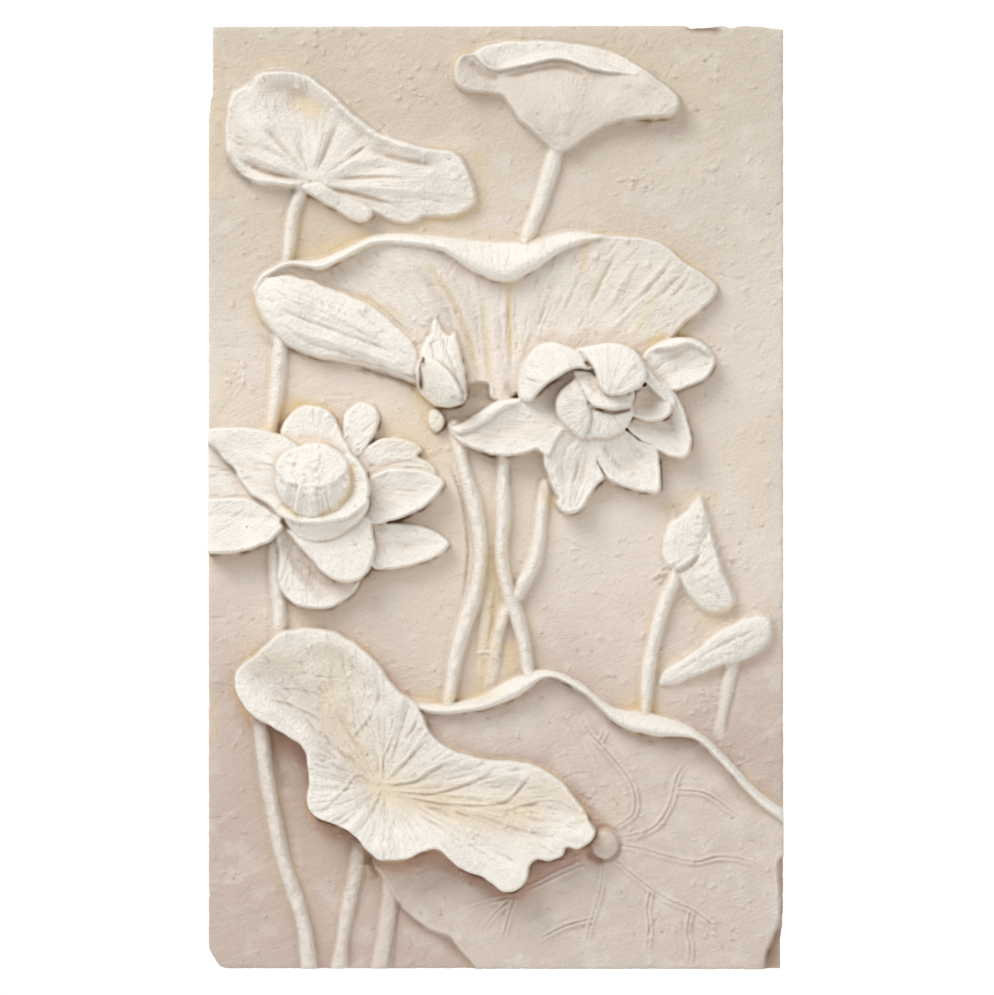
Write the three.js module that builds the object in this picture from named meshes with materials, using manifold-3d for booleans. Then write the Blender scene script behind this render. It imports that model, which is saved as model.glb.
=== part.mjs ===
// A carved wall panel: lotus leaves, flowers, buds and stems in high relief, cast in plaster with their slab as one
// piece. Millimetres. The panel hangs with +Z up and faces -Y. Its flat back lies in the plane y = 0, and the origin
// is at the centre of the back.
import * as THREE from "three";
import { mergeVertices } from "three/addons/utils/BufferGeometryUtils.js";
import Module from "manifold-3d";

const WIDTH = 574;
const HEIGHT = 942;
const SLAB = 34; // from the flat back to the ground of the relief
const HIGHEST = 70; // no form stands further than this above the ground
const ROOT = 8; // how deep the foot of a form is sunk in the slab

// The relief is drawn at full size on a sheet, in millimetres to the right and down. The panel's upper left corner
// is at this point of the sheet. A third number is a height above the ground of the relief.
const SHEET_LEFT = 209;
const SHEET_TOP = 26;

const LEAF_STEP = 19; // spacing of the vertices along a leaf's edge
const PETAL_STEP = 13;
const STEM_STEP = 26;
const STEM_SIDES = 8;

const PLASTER = new THREE.MeshStandardMaterial({ color: 0xe6ddd0, roughness: 0.85, metalness: 0 });

const wasm = await Module();
wasm.setup();

// A point of the sheet, at a height above the ground, in the panel's own frame.
function place(x, y, height) {
  return new THREE.Vector3(x - SHEET_LEFT - WIDTH / 2, -SLAB - height, SHEET_TOP + HEIGHT / 2 - y);
}

// Points along a smooth curve through the given ones, about step apart. Every given point is kept.
function smoothLine(points, step, closed) {
  const given = points.map(([x, y]) => new THREE.Vector3(x, y, 0));
  const curve = new THREE.CatmullRomCurve3(given, closed, "centripetal");
  const spans = closed ? given.length : given.length - 1;
  const line = [];
  for (let i = 0; i < spans; i++) {
    const gap = given[i].distanceTo(given[(i + 1) % given.length]);
    const parts = Math.max(1, Math.round(gap / step));
    for (let j = 0; j < parts; j++) line.push(curve.getPoint((i + j / parts) / spans));
  }
  if (!closed) line.push(given[spans]);
  return line.map((p) => [p.x, p.y]);
}

// Leaves out the points of a closed line that stand closer together than the step.
function thinned(line, step) {
  const kept = [line[0]];
  for (const point of line.slice(1)) {
    const last = kept[kept.length - 1];
    if (Math.hypot(point[0] - last[0], point[1] - last[1]) >= step * 0.62) kept.push(point);
  }
  return kept;
}

// Distance from a point to a closed line.
function distanceTo(line, x, y) {
  let nearest = Infinity;
  line.forEach(([ax, ay], i) => {
    const [bx, by] = line[(i + 1) % line.length];
    const along = ((x - ax) * (bx - ax) + (y - ay) * (by - ay)) / ((bx - ax) ** 2 + (by - ay) ** 2);
    const t = Math.min(1, Math.max(0, along));
    nearest = Math.min(nearest, Math.hypot(x - ax - t * (bx - ax), y - ay - t * (by - ay)));
  });
  return nearest;
}

// The thin plate through posts [x, y, height]: a smooth surface that has each post's height at its place.
function thinPlate(posts) {
  const n = posts.length;
  const bend = (r2) => (r2 > 0 ? r2 * Math.log(r2) : 0);
  const rows = posts.map(([x, y, h]) => [
    ...posts.map(([px, py]) => bend((x - px) ** 2 + (y - py) ** 2)), 1, x, y, h,
  ]);
  rows.push([...posts.map(() => 1), 0, 0, 0, 0]);
  rows.push([...posts.map(([x]) => x), 0, 0, 0, 0]);
  rows.push([...posts.map(([, y]) => y), 0, 0, 0, 0]);
  const size = n + 3;
  for (let i = 0; i < size; i++) {
    let pivot = i;
    for (let j = i + 1; j < size; j++) if (Math.abs(rows[j][i]) > Math.abs(rows[pivot][i])) pivot = j;
    [rows[i], rows[pivot]] = [rows[pivot], rows[i]];
    for (let j = 0; j < size; j++) {
      if (j === i) continue;
      const share = rows[j][i] / rows[i][i];
      for (let k = i; k <= size; k++) rows[j][k] -= share * rows[i][k];
    }
  }
  const weight = rows.map((row, i) => row[size] / row[i]);
  return (x, y) =>
    posts.reduce((sum, [px, py], i) => sum + weight[i] * bend((x - px) ** 2 + (y - py) ** 2), 0) +
    weight[n] + weight[n + 1] * x + weight[n + 2] * y;
}

// A closed solid from a stack of rings with the same number of points. Each end is closed by a fan round its middle.
function skin(rings) {
  const count = rings[0].length;
  const middle = (ring) => ring.reduce((sum, p) => sum.add(p), new THREE.Vector3()).divideScalar(count);
  const points = [middle(rings[0]), ...rings.flat(), middle(rings[rings.length - 1])];
  const at = (ring, i) => 1 + ring * count + (i % count);
  const faces = [];
  for (let i = 0; i < count; i++) {
    faces.push(0, at(0, i), at(0, i + 1));
    for (let r = 0; r + 1 < rings.length; r++) {
      faces.push(at(r, i), at(r + 1, i), at(r + 1, i + 1));
      faces.push(at(r, i), at(r + 1, i + 1), at(r, i + 1));
    }
    faces.push(points.length - 1, at(rings.length - 1, i + 1), at(rings.length - 1, i));
  }
  const geometry = new THREE.BufferGeometry().setFromPoints(points);
  return solidOf(geometry.setIndex(faces));
}

// A manifold solid from a closed three.js geometry, with its faces turned outwards.
function solidOf(geometry) {
  geometry.deleteAttribute("normal");
  geometry.deleteAttribute("uv");
  const merged = mergeVertices(geometry, 1e-3);
  const vertProperties = merged.getAttribute("position").array;
  const triVerts = new Uint32Array(merged.index.array);
  const solid = new wasm.Manifold(new wasm.Mesh({ numProp: 3, vertProperties, triVerts }));
  if (solid.volume() > 0) return solid;
  const turned = triVerts.map((_, i) => triVerts[i + [0, 1, -1][i % 3]]);
  return new wasm.Manifold(new wasm.Mesh({ numProp: 3, vertProperties, triVerts: turned }));
}

// A leaf, petal or bud: its top follows the posts and swells by bulge within reach of its edge, and its side stands
// on the ground. The centre is a point from which the whole outline can be seen.
function form({ outline, centre, posts, bulge = 0, reach = 14, step = PETAL_STEP, rings = [0.45, 0.84, 1] }) {
  const edge = thinned(smoothLine(outline, step, true), step);
  const plate = thinPlate(posts);
  const heightAt = (x, y) => {
    const inward = Math.min(1, distanceTo(edge, x, y) / reach);
    return plate(x, y) + bulge * Math.sqrt(1 - (1 - inward) ** 2);
  };
  const top = rings.map((share) =>
    edge.map(([ex, ey]) => {
      const x = centre[0] + share * (ex - centre[0]);
      const y = centre[1] + share * (ey - centre[1]);
      return place(x, y, heightAt(x, y));
    }),
  );
  return skin([...top, edge.map(([x, y]) => place(x, y, -ROOT))]);
}

// A lip rolled over along an edge: it rises from low at its outer line to high at its inner line, and ends there in a
// step. It sinks towards its two ends by fade.
function lip({ outer, inner, low, high, fade = 0, step = LEAF_STEP }) {
  const stations = Math.round(smoothLine(outer, step, false).length);
  const lineOf = (points) => {
    const given = points.map(([x, y]) => new THREE.Vector3(x, y, 0));
    return new THREE.CatmullRomCurve3(given, false, "centripetal").getPoints(stations);
  };
  const far = lineOf(outer);
  const near = lineOf(inner);
  const rings = far.map((a, i) => {
    const b = near[i];
    const sink = fade * Math.abs((2 * i) / (far.length - 1) - 1) ** 3;
    const section = [
      [a, -ROOT],
      [a, low - sink],
      [a.clone().lerp(b, 0.55), low + (high - low) * 0.78 - sink],
      [b, high - sink],
      [b, -ROOT],
    ];
    return section.map(([p, height]) => place(p.x, p.y, height));
  });
  return skin(rings);
}

// A stem: half of a round rod that lies on the ground along a path.
function stem({ path, half, crest }) {
  const line = smoothLine(path, STEM_STEP, false);
  const rings = line.map(([x, y], i) => {
    const [ax, ay] = line[Math.max(0, i - 1)];
    const [bx, by] = line[Math.min(line.length - 1, i + 1)];
    const length = Math.hypot(bx - ax, by - ay);
    const [sideX, sideY] = [(by - ay) / length, (ax - bx) / length];
    return Array.from({ length: STEM_SIDES }, (_, k) => {
      const angle = (k / STEM_SIDES) * 2 * Math.PI;
      const across = half * Math.cos(angle);
      return place(x + sideX * across, y + sideY * across, crest * Math.sin(angle));
    });
  });
  return skin(rings);
}

// The slab, with its chipped corners and uneven edges, as deep as asked.
function slab(depth) {
  const edge = [
    [212, 27], [330, 26], [470, 26], [600, 26], [664, 26], [690, 29], [712, 28], [730, 29], [760, 27], [783, 30],
    [783, 300], [783, 840], [783, 900], [781, 935], [780, 968], [500, 968], [220, 968], [213, 958], [209, 952],
    [209, 700], [209, 430], [209, 120], [211, 100],
  ];
  const shape = new THREE.Shape(edge.map(([x, y]) => place(x, y, 0)).map((p) => new THREE.Vector2(p.x, p.z)));
  return solidOf(new THREE.ExtrudeGeometry(shape, { depth, bevelEnabled: false }).rotateX(Math.PI / 2));
}

function stems() {
  return [
    { path: [[304, 186], [294, 212], [290, 240], [286, 270]], half: 7, crest: 12 }, // under the upper left leaf
    { path: [[282, 334], [279, 365], [276, 395], [271, 432]], half: 8.5, crest: 13 }, // down to the left flower
    { path: [[276, 545], [276, 572], [279, 600], [280, 640]], half: 8, crest: 12 }, // out below the left flower
    { path: [[261, 712], [265, 760], [272, 800], [281, 850], [297, 900], [306, 935], [309, 974]], half: 9, crest: 17 },
    { path: [[557, 146], [550, 172], [541, 200], [526, 240]], half: 8, crest: 11 }, // under the upper right leaf
    { path: [[490, 596], [485, 630], [483, 668]], half: 5, crest: 5 },
    { path: [[545, 484], [541, 515], [538, 545], [530, 570], [517, 594], [504, 615], [497, 640], [492, 674]], half: 7.5,
      crest: 12 }, // the right one of the crossed stems
    { path: [[503, 446], [503, 480], [503, 520], [501, 555], [506, 585], [515, 612], [523, 640], [529, 676]], half: 7.8,
      crest: 16 }, // crosses over it
    { path: [[455, 426], [462, 460], [471, 495], [478, 525], [481, 555], [476, 590], [466, 620], [457, 650],
      [451, 685], [448, 706]], half: 8, crest: 15 }, // under the bud
    { path: [[677, 574], [664, 604], [655, 635], [648, 670], [645, 718]], half: 7.5, crest: 13 },
    { path: [[732, 656], [726, 690], [719, 728]], half: 6, crest: 6 },
    { path: [[360, 844], [354, 880], [348, 910], [343, 935], [338, 974]], half: 8, crest: 12 },
    { path: [[389, 870], [388, 900], [384, 935], [380, 974]], half: 9, crest: 11 },
  ].map(stem);
}

function upperLeaves() {
  return [
    form({ // the upper left leaf, seen from below, with its folds meeting at the stem
      outline: [[227, 152], [227, 130], [229, 108], [233, 92], [243, 85], [252, 80], [262, 72], [278, 70], [294, 72],
        [308, 77], [322, 86], [336, 99], [350, 113], [364, 123], [376, 133], [392, 141], [410, 147], [430, 151],
        [448, 152], [460, 158], [467, 171], [471, 186], [474, 199], [469, 209], [455, 215], [438, 217], [421, 217],
        [412, 223], [398, 223], [385, 219], [375, 213], [371, 221], [361, 224], [350, 220], [338, 211], [325, 203],
        [312, 194], [298, 187], [280, 188], [262, 184], [247, 178], [234, 166]],
      centre: [330, 164],
      posts: [[228, 125, 10], [233, 160, 14], [255, 90, 11], [278, 74, 15], [290, 100, 7], [265, 140, 13],
        [325, 92, 15], [322, 128, 10], [312, 178, 18], [352, 117, 14], [378, 150, 9], [400, 146, 18], [440, 153, 16],
        [460, 180, 18], [440, 207, 12], [400, 217, 9], [380, 185, 14], [361, 214, 11], [262, 178, 11]],
      step: LEAF_STEP, rings: [0.35, 0.68, 0.9, 1],
    }),
    form({ // the upper right leaf, a side view like an umbrella turned up
      outline: [[454, 76], [455, 64], [463, 56], [474, 53], [482, 48], [496, 43], [515, 42], [540, 42], [565, 44],
        [590, 48], [612, 53], [630, 61], [648, 73], [664, 85], [677, 96], [680, 104], [676, 114], [664, 118],
        [645, 119], [622, 121], [604, 127], [588, 137], [572, 148], [558, 153], [548, 146], [534, 134], [520, 121],
        [510, 108], [502, 97], [488, 94], [470, 92], [459, 87]],
      centre: [562, 92],
      posts: [[463, 72, 17], [495, 84, 9], [520, 100, 13], [560, 72, 7], [560, 112, 17], [555, 145, 12], [540, 44, 4],
        [620, 84, 11], [620, 105, 17], [662, 104, 18], [640, 70, 9], [664, 88, 12], [600, 124, 12]],
      bulge: 2, reach: 8, step: LEAF_STEP, rings: [0.4, 0.72, 0.92, 1],
    }),
    lip({ // its turned rim
      outer: [[474, 53], [500, 43], [540, 42], [580, 46], [612, 53], [642, 70]],
      inner: [[479, 60], [493, 71], [520, 67], [560, 60], [592, 70], [636, 76]],
      low: 4, high: 18, fade: 5,
    }),
  ];
}

function middleLeaf() {
  return [
    form({ // the great leaf in the middle, a cup seen from the side
      outline: [[256, 300], [254, 290], [259, 279], [270, 270], [284, 264], [305, 262], [325, 263], [342, 256],
        [358, 247], [374, 241], [390, 238], [415, 243], [445, 247], [470, 262], [500, 272], [520, 271], [540, 258],
        [560, 246], [580, 237], [605, 236], [630, 237], [655, 242], [670, 251], [685, 264], [703, 275], [716, 288],
        [712, 299], [698, 312], [682, 325], [664, 336], [645, 347], [600, 365], [560, 380], [520, 392], [504, 402],
        [491, 398], [488, 384], [465, 384], [440, 384], [417, 383], [398, 376], [375, 369], [350, 363], [325, 359],
        [305, 353], [289, 346], [279, 335], [268, 327], [260, 315]],
      centre: [480, 330],
      posts: [[262, 300, 12], [320, 278, 7], [360, 268, 8], [390, 250, 17], [440, 272, 13], [505, 296, 7],
        [560, 268, 9], [620, 256, 13], [690, 274, 17], [712, 290, 14], [665, 318, 15], [605, 318, 9], [545, 340, 7],
        [500, 385, 13], [470, 345, 8], [425, 305, 17], [380, 320, 10], [350, 355, 9], [410, 378, 9]],
      step: LEAF_STEP, rings: [0.3, 0.6, 0.85, 1],
    }),
    form({ // the lower border of its rolled side
      outline: [[278, 331], [300, 333], [330, 342], [360, 352], [390, 362], [410, 367], [417, 383], [398, 376],
        [375, 369], [350, 363], [325, 359], [305, 353], [289, 346]],
      centre: [350, 356], posts: [[285, 338, 15], [350, 350, 17], [345, 362, 13], [412, 372, 14]],
      bulge: 3, reach: 8, step: LEAF_STEP, rings: [0.7, 1],
    }),
    form({ // the side that is rolled into a bolster
      outline: [[256, 300], [258, 286], [268, 278], [287, 280], [312, 284], [342, 293], [371, 307], [396, 325],
        [411, 342], [415, 356], [408, 367], [390, 362], [360, 352], [330, 342], [300, 333], [280, 329], [266, 325],
        [258, 314]],
      centre: [335, 318], posts: [[262, 302, 15], [335, 318, 18], [405, 352, 17], [345, 345, 15], [330, 291, 12]],
      bulge: 11, reach: 22, step: LEAF_STEP, rings: [0.4, 0.7, 0.9, 1],
    }),
    form({ // the fold that runs down from the rim's peak to the bud
      outline: [[388, 242], [408, 252], [428, 270], [446, 294], [459, 322], [464, 352], [446, 356], [426, 344],
        [407, 324], [393, 300], [386, 275], [383, 256]],
      centre: [424, 304], posts: [[392, 250, 15], [440, 290, 14], [400, 312, 14], [450, 348, 17], [424, 304, 17]],
      bulge: 7, reach: 20, rings: [0.5, 0.85, 1],
    }),
    lip({ // its turned rim
      outer: [[260, 277], [284, 261], [318, 259], [345, 248], [372, 236], [400, 233], [440, 236], [475, 241],
        [508, 243], [540, 237], [575, 230], [606, 234]],
      inner: [[270, 275], [290, 266], [322, 270], [346, 259], [372, 246], [396, 245], [440, 251], [470, 270],
        [506, 282], [536, 269], [566, 250], [602, 239]],
      low: 6, high: 28, fade: 12,
    }),
  ];
}

function bud() {
  return [
    form({ outline: [[425, 345], [419, 358], [416, 372], [418, 387], [424, 397], [435, 405], [450, 406], [461, 400],
      [465, 388], [464, 370], [459, 352], [450, 335], [440, 320], [433, 326], [428, 335]],
      centre: [440, 370], posts: [[438, 325, 20], [440, 372, 30], [420, 375, 28], [463, 378, 28], [440, 404, 24]],
      bulge: 6, reach: 12 }),
    form({ outline: [[420, 373], [422, 363], [430, 360], [438, 362], [447, 370], [455, 381], [461, 392], [458, 402],
      [445, 406], [430, 402], [421, 392]],
      centre: [437, 386], posts: [[430, 362, 34], [440, 385, 35], [440, 404, 26]], bulge: 6, reach: 14 }),
    form({ outline: [[428, 418], [430, 411], [438, 409], [444, 416], [444, 425], [438, 432], [431, 429]],
      centre: [436, 420], posts: [[430, 412, 7], [443, 420, 7], [436, 430, 7]], bulge: 5, reach: 7, rings: [0.6, 1] }),
  ];
}

function leftFlower() {
  const rootRing = [0.5, 1];
  return [
    form({ outline: [[200, 452], [222, 455], [233, 468], [242, 484], [250, 498], [235, 503], [200, 506]],
      centre: [222, 482], posts: [[205, 470, 6], [240, 492, 9], [225, 458, 7]], rings: rootRing }),
    form({ outline: [[352, 470], [360, 455], [372, 443], [390, 438], [406, 440], [423, 449], [417, 456], [430, 463],
      [437, 474], [420, 484], [380, 486]],
      centre: [388, 464], posts: [[366, 452, 22], [395, 442, 18], [421, 450, 15], [432, 468, 14], [385, 470, 20]] }),
    form({ outline: [[366, 512], [385, 522], [405, 524], [428, 529], [442, 536], [449, 543], [444, 551], [430, 559],
      [408, 566], [388, 569], [374, 567], [362, 548]],
      centre: [396, 545], posts: [[370, 540, 22], [447, 544, 19], [415, 527, 17], [400, 566, 22], [405, 545, 16]] }),
    form({ outline: [[279, 530], [280, 560], [279, 580], [284, 593], [294, 604], [312, 608], [330, 607], [347, 598],
      [358, 586], [362, 570], [345, 540], [310, 520]],
      centre: [315, 566], posts: [[281, 550, 20], [284, 592, 22], [318, 607, 22], [356, 588, 15], [322, 575, 12],
        [310, 535, 14]] }),
    form({ outline: [[343, 428], [345, 414], [353, 406], [364, 403], [375, 407], [380, 416], [377, 430], [370, 443],
      [359, 457], [350, 460], [345, 443]],
      centre: [361, 428], posts: [[345, 420, 14], [376, 412, 13], [356, 454, 22]], bulge: 4, reach: 12 }),
    form({ outline: [[281, 433], [286, 420], [294, 411], [306, 406], [320, 407], [330, 412], [337, 422], [343, 435],
      [349, 448], [350, 464], [320, 470], [288, 452]],
      centre: [316, 438], posts: [[310, 409, 20], [283, 432, 18], [338, 424, 21], [315, 432, 24], [318, 460, 34]],
      bulge: 2, reach: 8 }),
    form({ outline: [[200, 430], [230, 428], [252, 429], [270, 432], [287, 438], [302, 448], [320, 462], [310, 500],
      [286, 518], [268, 503], [252, 493], [243, 481], [236, 469], [226, 461], [216, 449], [200, 436]],
      centre: [266, 465], posts: [[210, 433, 21], [250, 431, 29], [292, 443, 38], [222, 456, 25], [244, 482, 31],
        [280, 510, 38], [252, 456, 24], [290, 480, 36]] }),
    form({ outline: [[200, 503], [225, 499], [246, 499], [262, 505], [276, 514], [287, 522], [281, 531], [270, 541],
      [256, 547], [240, 551], [222, 553], [200, 549]],
      centre: [240, 526], posts: [[205, 504, 22], [245, 501, 25], [283, 523, 35], [250, 549, 33], [207, 548, 29],
        [240, 526, 23]] }),
    form({ outline: [[360, 490], [370, 477], [385, 471], [402, 469], [420, 471], [436, 475], [444, 482], [440, 491],
      [430, 502], [416, 511], [400, 518], [384, 522], [371, 523], [360, 508]],
      centre: [396, 496], posts: [[368, 480, 30], [402, 471, 28], [442, 482, 27], [415, 511, 33], [376, 522, 32],
        [385, 494, 22], [418, 488, 23]] }),
    form({ outline: [[286, 526], [294, 539], [304, 551], [314, 562], [324, 572], [335, 579], [348, 582], [359, 579],
      [368, 571], [373, 560], [375, 547], [373, 534], [369, 518], [340, 508], [300, 508]],
      centre: [336, 544], posts: [[292, 534, 33], [330, 574, 35], [350, 580, 35], [373, 545, 35], [335, 550, 32]],
      bulge: 2, reach: 8 }),
    form({ // the outer face of the cup round the seed pod
      outline: [[285, 517], [292, 529], [303, 538], [320, 541], [338, 537], [352, 528], [366, 513], [368, 498],
        [340, 500], [300, 502]],
      centre: [330, 518], posts: [[292, 529, 37], [320, 540, 35], [352, 528, 36], [290, 514, 46], [320, 520, 51],
        [352, 512, 50]], rings: rootRing }),
    lip({ // the cup's edge
      outer: [[346, 455], [352, 470], [351, 485], [345, 498], [335, 509], [322, 517], [305, 518], [287, 513]],
      inner: [[350, 457], [362, 474], [368, 490], [365, 506], [350, 517], [330, 522], [305, 522], [283, 516]],
      low: 40, high: 53, fade: 8, step: PETAL_STEP,
    }),
    form({ // the seed pod's pleated side
      outline: [[277, 468], [279, 455], [288, 446], [312, 442], [338, 447], [348, 458], [351, 472], [350, 486],
        [344, 498], [334, 508], [322, 515], [305, 516], [290, 512], [282, 500], [277, 485]],
      centre: [313, 478], posts: [[286, 505, 46], [306, 516, 45], [334, 508, 45], [350, 478, 46], [313, 478, 60],
        [280, 465, 50], [313, 444, 48]] }),
    form({ // its seeded top
      outline: [[276, 466], [280, 453], [292, 446], [312, 443], [332, 446], [345, 453], [350, 464], [345, 476],
        [332, 485], [315, 488], [296, 486], [282, 478]],
      centre: [313, 466], posts: [[278, 466, 56], [313, 444, 53], [349, 464, 57], [315, 487, 64]] }),
  ];
}

function rightFlower() {
  const small = [0.6, 1];
  return [
    form({ // the petal at the upper right
      outline: [[640, 366], [648, 350], [660, 343], [680, 338], [697, 341], [708, 349], [714, 360], [711, 371],
        [702, 380], [688, 386], [672, 391], [650, 388]],
      centre: [678, 364], posts: [[646, 360, 26], [680, 341, 22], [711, 360, 20], [690, 385, 24], [655, 384, 28],
        [680, 364, 15]] }),
    lip({ outer: [[645, 354], [655, 345], [668, 340], [682, 338], [698, 342], [711, 352]],
      inner: [[655, 350], [664, 350], [676, 348], [687, 345], [698, 348], [708, 355]],
      low: 23, high: 30, fade: 4, step: PETAL_STEP }),
    form({ // the one below it
      outline: [[655, 380], [670, 389], [680, 404], [686, 419], [690, 436], [689, 452], [683, 458], [672, 457],
        [657, 450], [642, 441], [628, 431], [620, 418], [638, 394]],
      centre: [660, 424], posts: [[668, 392, 27], [688, 436, 25], [679, 457, 26], [645, 441, 28], [625, 424, 30],
        [665, 424, 16], [645, 405, 22]] }),
    form({ // the lower right one
      outline: [[588, 436], [620, 428], [640, 441], [655, 447], [659, 462], [660, 480], [658, 492], [645, 492],
        [630, 488], [614, 483], [605, 476], [597, 462], [590, 448]],
      centre: [626, 458], posts: [[594, 446, 28], [656, 452, 23], [657, 489, 24], [615, 482, 24], [628, 464, 15],
        [620, 434, 28]] }),
    form({ // the turned edge beside the lowest one
      outline: [[534, 446], [548, 442], [551, 460], [556, 480], [563, 498], [552, 501], [545, 485], [539, 465]],
      centre: [548, 468], posts: [[540, 448, 27], [550, 450, 25], [540, 474, 19], [557, 497, 15]], rings: small }),
    form({ // the lowest one
      outline: [[553, 428], [575, 430], [590, 436], [594, 452], [599, 466], [604, 477], [597, 484], [590, 494],
        [583, 506], [574, 513], [563, 511], [556, 503], [560, 496], [555, 480], [550, 462], [549, 445]],
      centre: [574, 466], posts: [[552, 442, 31], [552, 468, 26], [568, 511, 22], [600, 478, 23], [590, 440, 30],
        [577, 472, 15], [574, 440, 26]] }),
    form({ // the long one at the left
      outline: [[452, 429], [465, 423], [480, 413], [494, 404], [508, 400], [530, 400], [552, 400], [564, 416],
        [563, 430], [554, 443], [549, 456], [541, 453], [536, 450], [520, 454], [503, 456], [487, 453], [470, 447],
        [458, 440]],
      centre: [520, 428], posts: [[453, 430, 19], [485, 412, 26], [530, 402, 30], [505, 456, 31], [540, 452, 32],
        [512, 428, 20], [558, 422, 33], [470, 446, 25]] }),
    lip({ outer: [[451, 428], [466, 421], [482, 411], [497, 402], [514, 399], [540, 399]],
      inner: [[459, 434], [474, 429], [489, 420], [503, 409], [518, 404], [542, 403]],
      low: 24, high: 31, fade: 4, step: PETAL_STEP }),
    form({ // the hollow behind the hooded one
      outline: [[520, 402], [532, 384], [560, 368], [590, 366], [602, 385], [592, 408], [570, 430], [554, 424]],
      centre: [564, 395], posts: [[530, 392, 24], [590, 380, 30], [565, 424, 30], [560, 392, 15]], rings: small }),
    form({ // the small cup at the right of the middle
      outline: [[626, 398], [638, 388], [650, 385], [661, 393], [669, 402], [670, 412], [663, 419], [650, 421],
        [638, 418], [626, 412]],
      centre: [648, 404], posts: [[630, 392, 34], [668, 404, 37], [652, 420, 38], [630, 414, 36], [646, 402, 22]] }),
    form({ // the edge between it and the upper right petal
      outline: [[638, 358], [648, 370], [660, 384], [673, 397], [673, 406], [660, 398], [648, 387], [640, 377]],
      centre: [656, 384], posts: [[640, 364, 40], [662, 382, 34], [650, 388, 38], [672, 402, 32]], rings: small }),
    form({ outline: [[588, 404], [610, 408], [631, 406], [630, 420], [622, 432], [610, 438], [597, 438], [585, 437],
      [587, 420]],
      centre: [608, 422], posts: [[590, 410, 42], [628, 410, 42], [606, 437, 34]], bulge: 4, reach: 14 }),
    form({ outline: [[573, 372], [592, 374], [602, 388], [617, 394], [632, 390], [631, 404], [615, 409], [600, 408],
      [589, 404], [581, 391]],
      centre: [600, 397], posts: [[582, 384, 44], [608, 407, 52], [630, 398, 48]], rings: small }),
    form({ outline: [[576, 379], [583, 390], [588, 402], [590, 416], [587, 430], [582, 438], [572, 432], [562, 422],
      [556, 411], [556, 400], [561, 390], [568, 384]],
      centre: [573, 408], posts: [[575, 384, 42], [588, 412, 44], [580, 436, 36], [558, 406, 38]],
      bulge: 7, reach: 14 }),
    form({ // the hooded one at the left of the middle
      outline: [[520, 399], [518, 384], [522, 369], [529, 355], [538, 346], [550, 343], [562, 345], [574, 350],
        [584, 356], [594, 365], [590, 370], [578, 369], [567, 372], [558, 378], [548, 384], [540, 391], [530, 401]],
      centre: [548, 364], posts: [[521, 388, 32], [532, 352, 36], [560, 347, 42], [588, 364, 48], [562, 371, 54],
        [535, 392, 46]], bulge: 3, reach: 10 }),
    form({ // the broad flap in the middle
      outline: [[576, 350], [590, 346], [605, 344], [622, 345], [634, 351], [641, 361], [646, 373], [643, 384],
        [632, 391], [617, 396], [606, 395], [600, 388], [596, 378], [592, 367], [585, 357]],
      centre: [617, 370], posts: [[590, 350, 46], [625, 348, 46], [644, 374, 52], [615, 394, 60], [597, 374, 56]],
      bulge: 6, reach: 16 }),
  ];
}

function rightBudAndLeaf() {
  return [
    form({ // the drooping petal
      outline: [[700, 506], [708, 528], [714, 550], [720, 574], [729, 592], [730, 604], [722, 612], [710, 612],
        [700, 602], [692, 590], [684, 578], [684, 566], [692, 552]],
      centre: [704, 572], posts: [[702, 512, 9], [688, 572, 10], [716, 608, 9], [708, 570, 12]], bulge: 4 }),
    form({ outline: [[664, 562], [663, 545], [667, 530], [675, 520], [685, 512], [690, 502], [697, 498], [703, 503],
      [705, 516], [706, 532], [700, 546], [694, 558], [684, 565], [674, 570]],
      centre: [685, 538], posts: [[697, 502, 8], [666, 550, 8], [702, 540, 9], [680, 566, 9]], bulge: 7 }),
    form({ // the small leaf seen from its edge
      outline: [[659, 684], [664, 672], [680, 660], [697, 648], [712, 634], [728, 625], [745, 618], [760, 615],
        [769, 620], [772, 629], [769, 640], [760, 650], [747, 658], [732, 663], [716, 667], [702, 673], [688, 679],
        [673, 685]],
      centre: [718, 648], posts: [[662, 682, 5], [712, 638, 10], [765, 622, 10], [764, 645, 8], [710, 668, 7],
        [715, 652, 8]], bulge: 5, reach: 12 }),
  ];
}

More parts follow.
